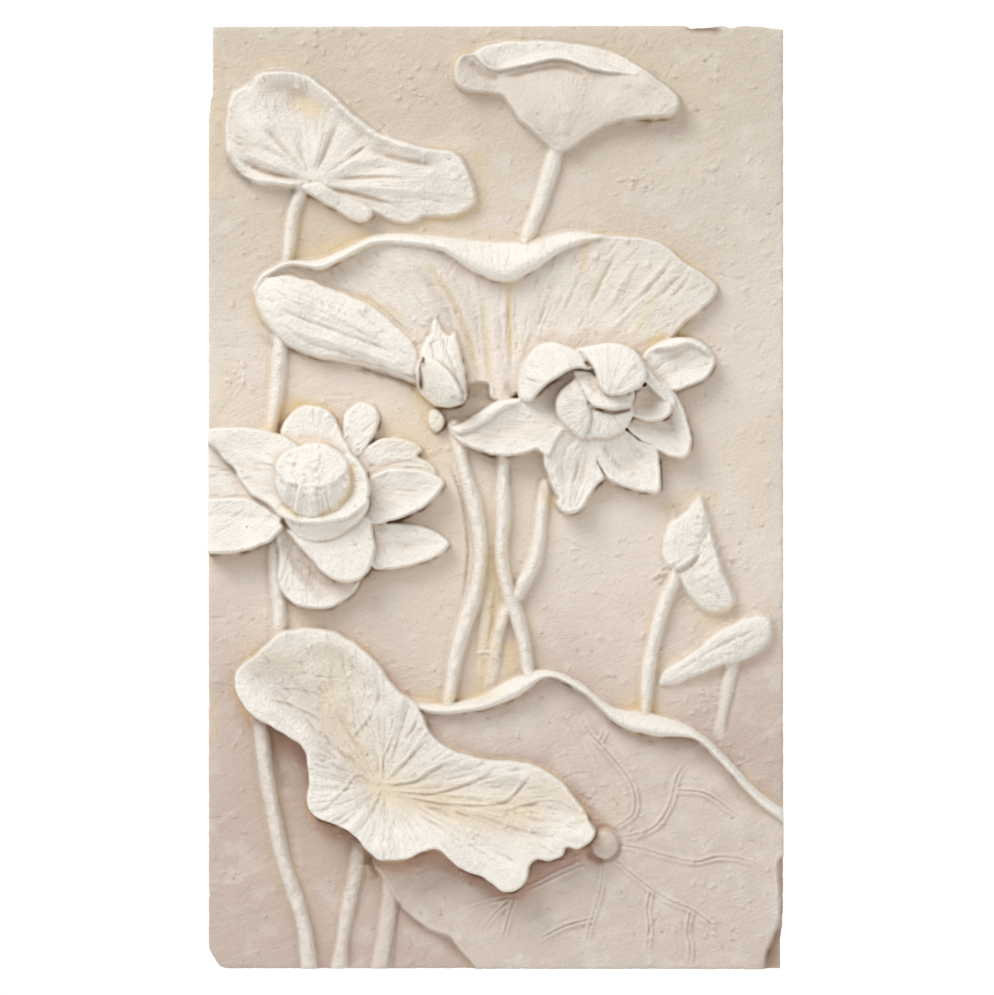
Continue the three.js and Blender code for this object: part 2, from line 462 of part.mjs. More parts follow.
function lowerLeaves() {
  return [
    form({ // the great leaf at the lower right, in lower relief, which runs off the panel
      outline: [[405, 700], [425, 710], [450, 711], [480, 706], [505, 699], [527, 686], [545, 676], [562, 678],
        [585, 692], [602, 710], [625, 725], [650, 731], [688, 735], [706, 746], [722, 762], [750, 793], [770, 810],
        [795, 824], [795, 846], [779, 858], [778, 885], [779, 910], [774, 932], [766, 950], [757, 980], [490, 980],
        [468, 958], [457, 945], [449, 936], [432, 929], [416, 919], [405, 910], [398, 901], [385, 880], [372, 860],
        [360, 800], [380, 740]],
      centre: [590, 850],
      posts: [[460, 722, 7], [550, 695, 6], [650, 750, 5], [740, 800, 8], [600, 800, 11], [700, 850, 13],
        [776, 880, 15], [600, 960, 12], [700, 960, 14], [400, 902, 9], [452, 940, 12], [484, 966, 12], [500, 905, 11],
        [420, 870, 6], [540, 760, 9]],
      step: LEAF_STEP, rings: [0.35, 0.7, 1],
    }),
    lip({ // its turned rim
      outer: [[403, 695], [425, 701], [450, 702], [480, 695], [510, 679], [545, 669], [580, 682], [612, 706],
        [650, 713], [690, 726], [725, 755], [760, 791], [795, 815]],
      inner: [[407, 703], [424, 711], [450, 713], [482, 709], [515, 697], [548, 677], [585, 694], [618, 724],
        [650, 734], [695, 739], [722, 764], [755, 800], [795, 830]],
      low: 9, high: 30, fade: 12,
    }),
    form({ // the knob where its stem is fixed
      outline: [[590, 843], [594, 833], [604, 829], [614, 833], [618, 843], [614, 853], [604, 858], [594, 853]],
      centre: [604, 843], posts: [[590, 843, 14], [604, 830, 14], [617, 850, 14]], bulge: 10, reach: 14, step: 9 }),
    form({ // the leaf at the lower left, an open dish that stands off the ground
      outline: [[281, 632], [295, 629], [312, 628], [328, 630], [343, 635], [357, 644], [370, 655], [381, 667],
        [390, 680], [401, 692], [412, 700], [420, 709], [425, 721], [436, 739], [450, 748], [466, 754], [484, 758],
        [504, 760], [524, 762], [541, 767], [556, 776], [568, 788], [579, 803], [589, 818], [595, 831], [589, 842],
        [577, 847], [566, 846], [562, 854], [549, 859], [537, 857], [530, 863], [528, 873], [523, 883], [514, 889],
        [503, 889], [492, 882], [482, 875], [466, 869], [453, 861], [443, 851], [435, 847], [424, 850], [408, 857],
        [392, 858], [379, 857], [368, 849], [359, 838], [350, 830], [337, 823], [322, 818], [311, 810], [307, 799],
        [310, 782], [309, 764], [304, 748], [290, 736], [273, 726], [256, 716], [245, 705], [237, 690], [236, 677],
        [242, 665], [255, 655], [270, 642]],
      centre: [384, 782],
      posts: [[237, 682, 42], [258, 652, 36], [285, 632, 30], [328, 631, 24], [372, 657, 20], [402, 693, 18],
        [432, 732, 19], [480, 758, 22], [530, 764, 27], [575, 798, 34], [593, 830, 42], [560, 853, 42],
        [515, 887, 48], [480, 874, 46], [436, 848, 48], [395, 857, 46], [352, 831, 46], [308, 800, 48],
        [307, 758, 42], [265, 722, 46], [384, 788, 20], [335, 705, 19], [285, 685, 26], [355, 755, 19],
        [450, 800, 22], [520, 815, 29], [340, 790, 36]],
      step: LEAF_STEP, rings: [0.28, 0.55, 0.8, 0.94, 1],
    }),
  ];
}

// Everything carved is joined with the slab, and what runs past the slab's edges is cut off flush with them.
function panel() {
  const carved = [
    ...stems(), ...upperLeaves(), ...middleLeaf(), ...bud(), ...leftFlower(), ...rightBudAndLeaf(), ...rightFlower(),
    ...lowerLeaves(),
  ];
  const whole = carved.reduce((sum, one) => sum.add(one), slab(SLAB)).intersect(slab(SLAB + HIGHEST));
  const { numProp, vertProperties, triVerts } = whole.getMesh();
  const corners = vertProperties.length / numProp;
  const points = Array.from({ length: corners }, (_, i) => {
    return new THREE.Vector3(...vertProperties.subarray(i * numProp, i * numProp + 3));
  });
  const geometry = new THREE.BufferGeometry().setFromPoints(points).setIndex([...triVerts]);
  geometry.computeVertexNormals();
  const mesh = new THREE.Mesh(geometry, PLASTER);
  mesh.name = "lotus_relief_panel";
  return mesh;
}

const group = new THREE.Group();
group.add(panel());
export default group;
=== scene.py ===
import math

import bmesh
import bpy
import numpy as np
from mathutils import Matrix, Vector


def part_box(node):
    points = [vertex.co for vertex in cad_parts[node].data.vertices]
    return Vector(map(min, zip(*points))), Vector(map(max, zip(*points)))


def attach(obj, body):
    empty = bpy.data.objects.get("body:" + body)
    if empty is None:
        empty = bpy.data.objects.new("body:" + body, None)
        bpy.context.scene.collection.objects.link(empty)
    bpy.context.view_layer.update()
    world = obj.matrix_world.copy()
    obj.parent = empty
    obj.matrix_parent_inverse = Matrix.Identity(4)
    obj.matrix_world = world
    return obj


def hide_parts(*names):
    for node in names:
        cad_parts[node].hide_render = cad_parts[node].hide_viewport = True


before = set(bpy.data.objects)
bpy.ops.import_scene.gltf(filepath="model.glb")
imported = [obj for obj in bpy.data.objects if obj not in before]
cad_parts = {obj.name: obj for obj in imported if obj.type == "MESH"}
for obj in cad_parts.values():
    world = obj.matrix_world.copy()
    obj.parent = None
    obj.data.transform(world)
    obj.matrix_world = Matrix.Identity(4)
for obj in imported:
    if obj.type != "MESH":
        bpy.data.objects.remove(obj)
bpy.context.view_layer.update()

# The studio: a long lens straight in front of the panel, a large soft lamp high at the left, and white all
# round. The panel hangs in the air as on its wall, with a pale floor far below it.
MM = 0.001
SLAB = 34.0  # millimetres, the panel's thickness without its relief
CAMERA_DISTANCE = 8.0
FRAME_WIDTH = 0.994  # metres of the panel's plane that the picture takes in
CAMERA_SHIFT = (0.001, -0.0005)  # the panel's middle stands this far off the picture's, across and up
SENSOR = 36.0

camera_data = bpy.data.cameras.new("camera")
camera_data.sensor_width = SENSOR
camera_data.lens = SENSOR * CAMERA_DISTANCE / FRAME_WIDTH
camera_data.clip_end = 100.0
camera = bpy.data.objects.new("camera", camera_data)
camera.location = (CAMERA_SHIFT[0], -CAMERA_DISTANCE - SLAB * MM, CAMERA_SHIFT[1])
camera.rotation_euler = (math.pi / 2, 0, 0)
bpy.context.scene.collection.objects.link(camera)
bpy.context.scene.camera = camera
bpy.context.scene.view_settings.view_transform = "Standard"


def lamp(name, place, size, power, colour):
    """A square soft lamp that faces the panel's middle."""
    data = bpy.data.lights.new(name, "AREA")
    data.size = size
    data.energy = power
    data.color = colour
    one = bpy.data.objects.new(name, data)
    one.location = place
    one.rotation_euler = (-one.location).to_track_quat("-Z", "Y").to_euler()
    bpy.context.scene.collection.objects.link(one)


lamp("key", (-2.7, -3.4, 3.9), 2.8, 186, (1.0, 0.995, 0.985))
lamp("fill", (1.8, -3.2, 0.6), 2.5, 12, (1.0, 0.97, 0.94))
lamp("back_fill", (0.5, 3.5, 1.5), 2.5, 85, (1.0, 0.98, 0.96))

AMBIENT = 0.58  # how strongly the white surroundings light the panel
SEEN_WHITE = 1.06  # how bright they are for the camera, which is pure white
world = bpy.data.worlds.new("studio")
bpy.context.scene.world = world
world.use_nodes = True
sky = world.node_tree
background = sky.nodes["Background"]
background.inputs["Color"].default_value = (1.0, 0.993, 0.98, 1.0)
seen = sky.nodes.new("ShaderNodeLightPath")
brightness = sky.nodes.new("ShaderNodeMapRange")
brightness.inputs["To Min"].default_value = AMBIENT
brightness.inputs["To Max"].default_value = SEEN_WHITE
sky.links.new(seen.outputs["Is Camera Ray"], brightness.inputs["Value"])
sky.links.new(brightness.outputs["Result"], background.inputs["Strength"])

FLOOR_LEVEL = -1.25
FLOOR_HALF = 1.6
FLOOR_GREY = (0.8, 0.79, 0.77, 1)
floor_shape = bmesh.new()
bmesh.ops.create_grid(floor_shape, x_segments=1, y_segments=1, size=FLOOR_HALF)
bmesh.ops.translate(floor_shape, verts=floor_shape.verts, vec=(0, 0, FLOOR_LEVEL))
floor_mesh = bpy.data.meshes.new("floor")
floor_shape.to_mesh(floor_mesh)
floor = bpy.data.objects.new("floor", floor_mesh)
bpy.context.scene.collection.objects.link(floor)
floor_finish = bpy.data.materials.new("floor")
floor_finish.use_nodes = True
floor_shader = floor_finish.node_tree.nodes["Principled BSDF"]
floor_shader.inputs["Base Color"].default_value = FLOOR_GREY
floor_shader.inputs["Roughness"].default_value = 0.8
floor_mesh.materials.append(floor_finish)

# The ground of the relief: one slab of plaster, floated by hand, so that it is nowhere quite flat. It is kept
# as a field of heights over a drawing at full size, in millimetres to the right and down, and every form is
# laid on it in turn. SHEET_LEFT and SHEET_TOP are the place of the panel's upper left corner on the drawing.
SHEET_LEFT, SHEET_TOP = 209.0, 26.0
CLEARANCE = 0.4  # the relief stays this far behind the front of the solid's box
node_low, node_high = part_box("lotus_relief_panel")
WIDTH = (node_high.x - node_low.x) / MM
HEIGHT = (node_high.z - node_low.z) / MM
HIGHEST = -node_low.y / MM - SLAB - CLEARANCE
FIELD_STEP = 1.0

field_x, field_y = np.meshgrid(
    np.linspace(SHEET_LEFT, SHEET_LEFT + WIDTH, round(WIDTH / FIELD_STEP) + 1),
    np.linspace(SHEET_TOP, SHEET_TOP + HEIGHT, round(HEIGHT / FIELD_STEP) + 1),
)
height = np.zeros(field_x.shape)
owner = np.zeros(field_x.shape, int)  # the number of the form that shows, or 0 on the ground
whiteness = np.zeros(field_x.shape)  # how much of the ground's colour is scraped or painted away


def blurred(field, spread):
    """The field with each value spread over its neighbours, spread in millimetres."""
    pad = int(3 * spread / FIELD_STEP) + 2
    padded = np.pad(field, pad, mode="edge")
    down = np.fft.fftfreq(padded.shape[0], FIELD_STEP)[:, None]
    across = np.fft.rfftfreq(padded.shape[1], FIELD_STEP)[None, :]
    keep = np.exp(-2 * (math.pi * spread) ** 2 * (down**2 + across**2))
    return np.fft.irfft2(np.fft.rfft2(padded) * keep, padded.shape)[pad:-pad, pad:-pad]


HILL_TO_BLUR = 2.6  # how many times wider a hill is than the blur that makes it


def hills(size, seed, slant=0.0, drawn=1.0):
    """Random hills about size across, drawn out along a slant in degrees, with a height of about one."""
    noise = np.random.default_rng(seed).standard_normal(field_x.shape)
    down = np.fft.fftfreq(noise.shape[0], FIELD_STEP)[:, None]
    across = np.fft.rfftfreq(noise.shape[1], FIELD_STEP)[None, :]
    turn = math.radians(slant)
    lengthwise = across * math.cos(turn) + down * math.sin(turn)
    sideways = down * math.cos(turn) - across * math.sin(turn)
    keep = np.exp(-2 * (math.pi * size / HILL_TO_BLUR) ** 2 * ((lengthwise * drawn) ** 2 + sideways**2))
    made = np.fft.irfft2(np.fft.rfft2(noise) * keep, noise.shape)
    return made / made.std()


def smooth_step(low, high, value):
    """0 below low, 1 above high, and a smooth rise between."""
    share = np.clip((value - low) / (high - low), 0, 1)
    return share * share * (3 - 2 * share)


height += 0.9 * hills(90, 1) + 0.45 * hills(28, 2, slant=15, drawn=1.8)

# Stems: rods of paste rolled by hand and pressed on, thicker here and thinner there. The ground is a little
# scooped along both sides, where the fingers and the tool have gone along them.
LINE_STEP = 3.0
STEM_FILLET = 2.2
STEM_SWELL, STEM_DENT = 0.09, 0.05  # how much its width and its height waver, as shares of them
STEM_SECTION = 2.4  # the power of its section: 2 is an arch, and more is flatter on top
SCOOP_DEPTH, SCOOP_OFF, SCOOP_WIDTH = 0.8, 1.0, 1.6  # the groove in the ground beside it


def smooth_line(points, closed=False):
    """Points about LINE_STEP apart, on a smooth curve through the given ones."""
    given = np.array(points, float)
    count = len(given)
    line = []
    for i in range(count if closed else count - 1):
        spots = [(i + k) % count if closed else min(max(i + k, 0), count - 1) for k in (-1, 0, 1, 2)]
        before, start, end, after = given[spots]
        length = np.hypot(*(end - start))
        lean_in = (end - before) * length / (length + np.hypot(*(start - before)))
        lean_out = (after - start) * length / (length + np.hypot(*(after - end)))
        for t in np.arange(0, 1, 1 / max(1, round(length / LINE_STEP))):
            line.append(
                start * (1 + 2 * t) * (1 - t) ** 2 + lean_in * t * (1 - t) ** 2
                + end * t * t * (3 - 2 * t) + lean_out * t * t * (t - 1)
            )
    if not closed:
        line.append(given[-1])
    return np.array(line)


def oval(middle, across, down):
    """Eight points on an oval, for a smooth line."""
    turns = np.arange(8) * math.pi / 4
    return [(middle[0] + across * math.cos(t), middle[1] + down * math.sin(t)) for t in turns]


def window_round(line, margin):
    """The part of the field that holds the line, with a margin."""
    low = (line.min(0) - margin - (SHEET_LEFT, SHEET_TOP)) / FIELD_STEP
    high = (line.max(0) + margin - (SHEET_LEFT, SHEET_TOP)) / FIELD_STEP
    left, top = np.maximum(low.astype(int), 0)
    right, bottom = np.maximum(high.astype(int) + 1, 0)
    return np.s_[top:bottom, left:right]


def distance_to(line, x, y):
    """How far each place is from a line, and how far along the line its nearest point is, from 0 to 1."""
    nearest = np.full(x.shape, np.inf)
    place = np.zeros(x.shape)
    walked = 0.0
    for (ax, ay), (bx, by) in zip(line[:-1], line[1:]):
        length = math.hypot(bx - ax, by - ay) + 1e-9
        share = np.clip(((x - ax) * (bx - ax) + (y - ay) * (by - ay)) / length**2, 0, 1)
        apart = (x - ax - share * (bx - ax)) ** 2 + (y - ay - share * (by - ay)) ** 2
        closer = apart < nearest
        nearest[closer] = apart[closer]
        place[closer] = walked + share[closer] * length
        walked += length
    return np.sqrt(nearest), place / walked


stem_swell = hills(30, 5)
stem_dents = hills(7, 6)


def stem(path, half, crest, white=0.7, ends=(1.0, 1.0)):
    """A rod along the path. Its two ends may be lower than the rest, by the shares given."""
    line = smooth_line(path)
    here = window_round(line, 2 * half + 8)
    apart, along = distance_to(line, field_x[here], field_y[here])
    taper = np.interp(along, (0, 0.5, 1), (0.8 + 0.2 * ends[0], 1, 0.8 + 0.2 * ends[1]))
    wide = half * (1 + STEM_SWELL * stem_swell[here]) * taper
    rise = np.interp(along, (0, 0.2, 0.7, 1), (ends[0], 1, 1, ends[1]))
    tall = crest * (1 + STEM_DENT * stem_dents[here]) * rise
    rod = tall * (1 - (apart / wide) ** STEM_SECTION)
    ground = height[here] - SCOOP_DEPTH * np.exp(-(((apart - wide - SCOOP_OFF) / SCOOP_WIDTH) ** 2))
    merged = 0.5 * (rod + ground + np.hypot(rod - ground, STEM_FILLET))
    height[here] = merged - 0.5 * STEM_FILLET * np.exp(-apart / wide)
    owner[here][(apart < wide) & (rod > ground)] = owner.max() + 1
    whiteness[here] = np.maximum(whiteness[here], white * smooth_step(1.5, -2.5, apart - wide))


# The left side from the top down, the middle ones that cross, and the low ones at the right and the foot.
for path, half, crest, more in (
    ([(304, 186), (294, 212), (290, 240), (286, 270)], 7, 12, {}),
    ([(282, 334), (279, 365), (276, 395), (271, 432)], 8.5, 13, {}),
    ([(276, 545), (276, 572), (279, 600), (280, 640)], 8, 12, {}),
    ([(261, 712), (265, 760), (272, 800), (281, 850), (297, 900), (306, 935), (309, 974)],
        9, 15, {"white": 0.55}),
    ([(557, 146), (550, 172), (541, 200), (526, 240)], 8, 11, {}),
    ([(488, 588), (485, 630), (482, 672)], 6, 4, {"white": 0.45, "ends": (0.1, 0.2)}),
    ([(545, 484), (541, 515), (538, 545), (530, 570), (517, 594), (504, 615), (497, 640), (490, 688)],
        7.5, 12, {"ends": (0.7, 0.15)}),
    ([(503, 446), (503, 480), (503, 520), (501, 555), (506, 585), (515, 612), (523, 640), (529, 676)],
        7.8, 16, {}),
    ([(455, 426), (462, 460), (471, 495), (478, 525), (481, 555), (476, 590), (466, 620), (457, 650),
        (451, 685), (448, 706)], 8, 15, {}),
    ([(677, 574), (664, 604), (655, 635), (648, 670), (645, 718)], 7.5, 13, {}),
    ([(733, 656), (727, 690), (718, 736)], 6.5, 5, {"white": 0.5, "ends": (1, 0.1)}),
    ([(360, 844), (354, 880), (348, 910), (343, 935), (338, 974)], 8.5, 11, {"white": 0.45}),
    ([(388, 866), (389, 900), (386, 935), (381, 974)], 9.5, 9, {"white": 0.35, "ends": (0.5, 1)}),
):
    stem(path, half, crest, **more)

# Leaves, petals and buds: sheets of paste laid over what lies behind them. Each follows its outline and a few
# posts that give its height, is thicker along its edge, and stands on the ground with a steep side. The two
# leaves at the top come first: the left one is seen from below, the right one from its side.


def plate(posts):
    """The thin plate through posts x, y, height: the smoothest surface that meets the top of each post."""
    spots = np.array(posts, float)
    count = len(spots)

    def bend(x, y):
        apart = (x[..., None] - spots[:, 0]) ** 2 + (y[..., None] - spots[:, 1]) ** 2
        return apart * np.log(np.maximum(apart, 1e-9))

    flat = np.column_stack([np.ones(count), spots[:, :2]])
    system = np.block([[bend(spots[:, 0], spots[:, 1]), flat], [flat.T, np.zeros((3, 3))]])
    weight = np.linalg.solve(system, np.append(spots[:, 2], (0, 0, 0)))
    base, by_x, by_y = weight[count:]
    return lambda x, y: bend(x, y) @ weight[:count] + base + by_x * x + by_y * y


def depth_inside(line, x, y):
    """How far inside a closed line each place lies; outside, how far off it, below zero."""
    inside = np.zeros(x.shape, bool)
    for (ax, ay), (bx, by) in zip(line, np.roll(line, -1, 0)):
        if ay != by:
            inside ^= ((ay > y) != (by > y)) & (x < (bx - ax) * (y - ay) / (by - ay) + ax)
    apart, _ = distance_to(np.vstack([line, line[:1]]), x, y)
    return np.where(inside, apart, -apart)


ragged = hills(9, 8)
dents = hills(16, 9)
RAGGED_BY = 0.35  # how far an outline wanders
DENTED_BY = 0.45  # how deep the dents in a sheet are
RIM_INSIDE, RIM_WIDTH = 1.9, 1.4  # the place of the thicker rim inside the edge, and its width
EDGE_DROP, EDGE_ROUND = 1.2, 0.7  # how far the edge itself falls off, and over what width
FOOT_DEPTH, FOOT_OFF, FOOT_WIDTH = 0.6, 1.8, 1.2  # the tool's groove in what lies round the form


def form(outline, posts, bulge=0.0, reach=14.0, rim=0.8, edge=2.2, white=1.0):
    """A sheet of paste within its outline, with its height from the posts. It rises by the bulge over the
    reach from its edge, is thicker by the rim, and falls to what lies behind it over its edge's width."""
    line = smooth_line(outline, closed=True)
    here = window_round(line, 8 + edge)
    x, y = field_x[here], field_y[here]
    depth = depth_inside(line, x, y) + RAGGED_BY * ragged[here]
    rounded = np.sqrt(1 - (1 - np.clip(depth / reach, 0, 1)) ** 2)
    top = plate(posts)(x, y) + bulge * rounded + DENTED_BY * dents[here]
    edge_drop = EDGE_DROP * np.exp(-np.clip(depth, 0, 9) / EDGE_ROUND)
    top += rim * np.exp(-(((depth - RIM_INSIDE) / RIM_WIDTH) ** 2)) - edge_drop
    height[here] -= FOOT_DEPTH * np.exp(-(((depth + FOOT_OFF) / FOOT_WIDTH) ** 2))
    height[here] += (top - height[here]) * smooth_step(-0.65 * edge, 0.35 * edge, depth)
    owner[here][depth > 0] = owner.max() + 1
    whiteness[here] += (white - whiteness[here]) * smooth_step(-0.6 * edge, 0.2 * edge, depth)
    return owner.max()


LIP_CREST, LIP_BACK = 0.72, 0.28  # the shares of a lip's width before and behind its highest line


def lip(outer, inner, low, high, fade=0.0, white=1.0, curl=0.0):
    """An edge rolled over, which rises from its outer line and ends in a step at its inner one. With a curl
    its inner line is a thin ridge, hollow behind."""
    far, near = smooth_line(outer), smooth_line(inner)
    outline = np.vstack([far, near[::-1]])
    here = window_round(outline, 8)
    x, y = field_x[here], field_y[here]
    depth = depth_inside(outline, x, y) + 0.25 * ragged[here]
    from_far, along = distance_to(far, x, y)
    from_near, _ = distance_to(near, x, y)
    across = from_far / (from_far + from_near + 1e-9)
    swell = np.sin(0.5 * math.pi * np.clip(across / LIP_CREST, 0, 1))
    swell -= 0.3 * np.clip((across - LIP_CREST) / LIP_BACK, 0, 1) ** 2
    swell += curl * (across**3 - swell) - 0.2 * curl * np.sin(math.pi * across)
    top = low + (high - low) * swell - fade * np.abs(2 * along - 1) ** 3 + 0.4 * dents[here]
    height[here] -= 0.5 * np.exp(-(((depth + FOOT_OFF) / FOOT_WIDTH) ** 2))
    raised = height[here] + (top - height[here]) * smooth_step(-1.4, 0.8, depth)
    shows = (raised > height[here]) & (depth > 0)
    height[here] = np.maximum(height[here], raised)
    owner[here][shows] = owner.max() + 1
    whiteness[here] = np.maximum(whiteness[here], white * smooth_step(-1.5, 0.5, depth))
    return owner.max()


def crease(path, depth, width, on=None, fade=0.15):
    """Sinks a line into everything, or into the forms given. With a depth below zero it is a ridge."""
    line = smooth_line(path)
    here = window_round(line, 3 * width + 2)
    apart, along = distance_to(line, field_x[here], field_y[here])
    ends = smooth_step(0, fade, along) * smooth_step(0, fade, 1 - along) if fade else 1.0
    shows = np.isin(owner[here], on) if on is not None else 1.0
    height[here] -= depth * np.exp(-((apart / width) ** 2)) * ends * shows


def fan(on, heart, depth, spacing, seed, hub=12.0):
    """Folds that run out from the heart of a leaf or flower over the given forms, spacing in degrees."""
    shows = np.isin(owner, on)
    x, y = field_x[shows] - heart[0], field_y[shows] - heart[1]
    turn = np.arctan2(y, x) / (2 * math.pi) + 0.5
    for finer, share in ((1, 0.7), (2.7, 0.45)):  # broad folds, and finer ones over them
        count = int(360 / spacing * finer)
        waves = np.random.default_rng(seed + int(10 * finer)).uniform(-1, 1, count)
        spot = turn * count
        first = spot.astype(int) % count
        blend = smooth_step(0, 1, spot - spot.astype(int))
        wave = waves[first] * (1 - blend) + waves[(first + 1) % count] * blend
        height[shows] += share * depth * wave * smooth_step(hub * 0.4, hub * 1.6, np.hypot(x, y))


upper_leaves = [
    form(  # the upper left leaf, seen from below, with its folds meeting at the stem
        outline=[(296, 188), (285, 187), (262, 184), (246, 179), (234, 169), (228, 153), (226, 130),
            (229, 108), (234, 94), (243, 88), (251, 84), (257, 77), (266, 73), (282, 72), (298, 74),
            (312, 79), (325, 88), (336, 98), (352, 114), (373, 130), (388, 137), (403, 142), (420, 148),
            (440, 151), (453, 153), (462, 160), (469, 174), (474, 190), (475, 203), (465, 211), (450, 217),
            (432, 216), (422, 217), (415, 222), (405, 224), (390, 220), (375, 213), (355, 205), (330, 196),
            (312, 192)],
        posts=[(312, 180, 17), (229, 120, 8), (231, 158, 13), (252, 94, 10), (280, 77, 15), (300, 102, 4),
            (268, 128, 13), (250, 156, 12), (330, 96, 16), (350, 118, 17), (330, 140, 9), (378, 158, 8),
            (400, 146, 18), (440, 155, 18), (466, 185, 15), (440, 206, 11), (400, 216, 9), (380, 185, 14),
            (420, 178, 16)],
        edge=7, rim=0.7, white=0.75,
    ),
    form(  # the upper right leaf, a side view like an umbrella turned up
        outline=[(454, 76), (455, 64), (463, 56), (474, 53), (482, 48), (496, 43), (515, 42), (540, 42),
            (565, 44), (590, 48), (612, 53), (630, 61), (648, 73), (664, 85), (677, 96), (680, 104),
            (676, 114), (664, 118), (645, 119), (622, 121), (604, 127), (588, 137), (572, 148), (558, 153),
            (548, 146), (534, 134), (520, 121), (510, 108), (502, 97), (488, 94), (470, 92), (459, 87)],
        posts=[(463, 72, 17), (495, 84, 9), (520, 100, 13), (560, 72, 7), (560, 112, 17), (555, 145, 12),
            (540, 44, 4), (620, 84, 11), (620, 105, 17), (662, 104, 18), (640, 70, 9), (664, 88, 12),
            (600, 124, 12)],
        edge=5, white=0.3, bulge=2, reach=8,
    ),
    lip(  # its turned rim
        outer=[(474, 53), (500, 43), (540, 42), (580, 46), (612, 53), (642, 70)],
        inner=[(479, 60), (493, 71), (520, 67), (560, 60), (592, 70), (636, 76)],
        low=5, high=20, fade=4, curl=0.8, white=0.8,
    ),
]
UPPER_LEFT_HEART = (312, 182)
small_roll = form(
    outline=[(302, 188), (322, 202), (333, 209), (343, 216), (355, 222), (367, 222), (373, 215), (370, 208),
        (358, 202), (345, 197), (330, 189), (316, 183)],
    posts=[(310, 187, 15), (368, 215, 13), (340, 200, 13), (340, 212, 11)],
    bulge=5, reach=9, edge=3, white=0.8,
)
fan(upper_leaves[:1], UPPER_LEFT_HEART, 1.5, 10, 31)
for path, depth, width in (
    ([(312, 180), (294, 160), (272, 136), (250, 118)], 2.8, 3.0),
    ([(302, 172), (282, 158), (260, 148), (236, 140)], 2.0, 2.6),
    ([(310, 182), (286, 178), (262, 171), (234, 157)], 6.5, 3.0),
    ([(246, 92), (251, 84), (256, 76)], 5.0, 3.0),
    ([(262, 88), (290, 92), (316, 106), (334, 120)], 2.6, 7.0),
    ([(308, 184), (284, 184), (258, 179)], -2.6, 3.0),
    ([(308, 187), (288, 188), (268, 184)], 2.4, 1.8),
    ([(314, 178), (324, 156), (334, 132), (340, 116)], 3.2, 3.0),
    ([(316, 182), (334, 170), (352, 157), (370, 146)], 3.0, 2.6),
    ([(320, 185), (345, 180), (378, 178), (420, 181)], 3.6, 2.2),
    ([(322, 190), (348, 193), (372, 199), (396, 208)], 4.4, 2.6),
    ([(306, 172), (301, 150), (300, 130)], 1.8, 3.0),
    ([(318, 178), (345, 164), (380, 160), (430, 166)], -3.6, 6.0),
    ([(324, 188), (350, 187), (380, 189), (436, 196)], -2.6, 4.0),
    ([(308, 176), (280, 152), (256, 130), (236, 108)], -3.2, 6.0),
    ([(306, 180), (280, 169), (256, 158), (234, 148)], -3.0, 3.4),
    ([(312, 174), (318, 150), (322, 130), (322, 112)], -2.6, 4.5),
    ([(300, 77), (325, 93), (348, 115), (373, 135), (405, 148), (452, 157)], -4.5, 3.4),
    ([(372, 150), (392, 158), (415, 163), (440, 167)], 4.6, 3.2),
    ([(330, 112), (352, 130), (372, 146)], 2.0, 6.0),
):
    crease(path, depth, width, upper_leaves[:1], fade=0.35)
fan(upper_leaves[1:2], (556, 165), 0.6, 12, 32)
for path, depth, width in (
    ([(458, 70), (461, 60), (470, 54), (479, 58), (486, 67), (497, 71)], -4.0, 2.2),
    ([(468, 64), (476, 68), (484, 76), (500, 80)], 4.0, 3.6),
    ([(500, 79), (520, 75), (540, 70), (562, 68), (590, 78)], 3.0, 2.6),
    ([(640, 78), (660, 90), (676, 102), (668, 112)], -3.0, 4.0),
    ([(622, 86), (645, 98), (660, 106)], 2.4, 4.0),
):
    crease(path, depth, width, upper_leaves)

middle_leaf = [
    form(  # the great leaf in the middle, a cup seen from the side
        outline=[(256, 300), (254, 290), (259, 279), (270, 270), (284, 264), (305, 262), (325, 263),
            (342, 256), (358, 247), (374, 241), (390, 238), (415, 243), (445, 247), (470, 262), (500, 272),
            (520, 271), (540, 258), (560, 246), (580, 237), (605, 236), (630, 237), (655, 242), (670, 251),
            (685, 264), (703, 275), (716, 288), (712, 299), (698, 312), (682, 325), (668, 342), (654, 354),
            (600, 372), (560, 380), (520, 392), (504, 402), (491, 398), (488, 384), (465, 384), (440, 384),
            (417, 383), (398, 376), (375, 369), (350, 363), (325, 359), (305, 353), (289, 346), (279, 335),
            (268, 327), (260, 315)],
        posts=[(262, 300, 12), (320, 278, 7), (360, 268, 8), (390, 250, 17), (440, 272, 13), (505, 296, 7),
            (560, 268, 9), (620, 256, 13), (690, 274, 17), (712, 290, 14), (665, 318, 15), (605, 318, 9),
            (545, 340, 7), (500, 385, 13), (470, 345, 8), (425, 305, 15), (380, 320, 10), (350, 355, 9),
            (410, 378, 12)],
        edge=4, white=0.5,
    ),
    form(  # the side that is rolled into a bolster
        outline=[(257, 300), (259, 288), (268, 279), (284, 276), (304, 279), (330, 288), (352, 297),
            (374, 308), (396, 325), (411, 342), (419, 358), (418, 374), (406, 375), (390, 370), (376, 366),
            (361, 362), (346, 359), (330, 358), (315, 356), (301, 351), (287, 345), (276, 334), (266, 322),
            (260, 312)],
        posts=[(262, 302, 13), (300, 310, 19), (345, 330, 19), (400, 356, 16), (330, 291, 14), (385, 322, 15),
            (315, 350, 12), (365, 358, 13)],
        bulge=7, reach=20, edge=4, white=0.95,
    ),
    lip(  # its turned rim
        outer=[(260, 277), (284, 261), (318, 259), (345, 248), (372, 236), (400, 233), (440, 236), (475, 241),
            (508, 243), (540, 237), (575, 230), (606, 234)],
        inner=[(270, 275), (290, 266), (322, 270), (346, 259), (372, 246), (396, 245), (440, 251), (470, 270),
            (506, 282), (536, 269), (566, 250), (602, 239)],
        low=6, high=28, fade=12,
    ),
]
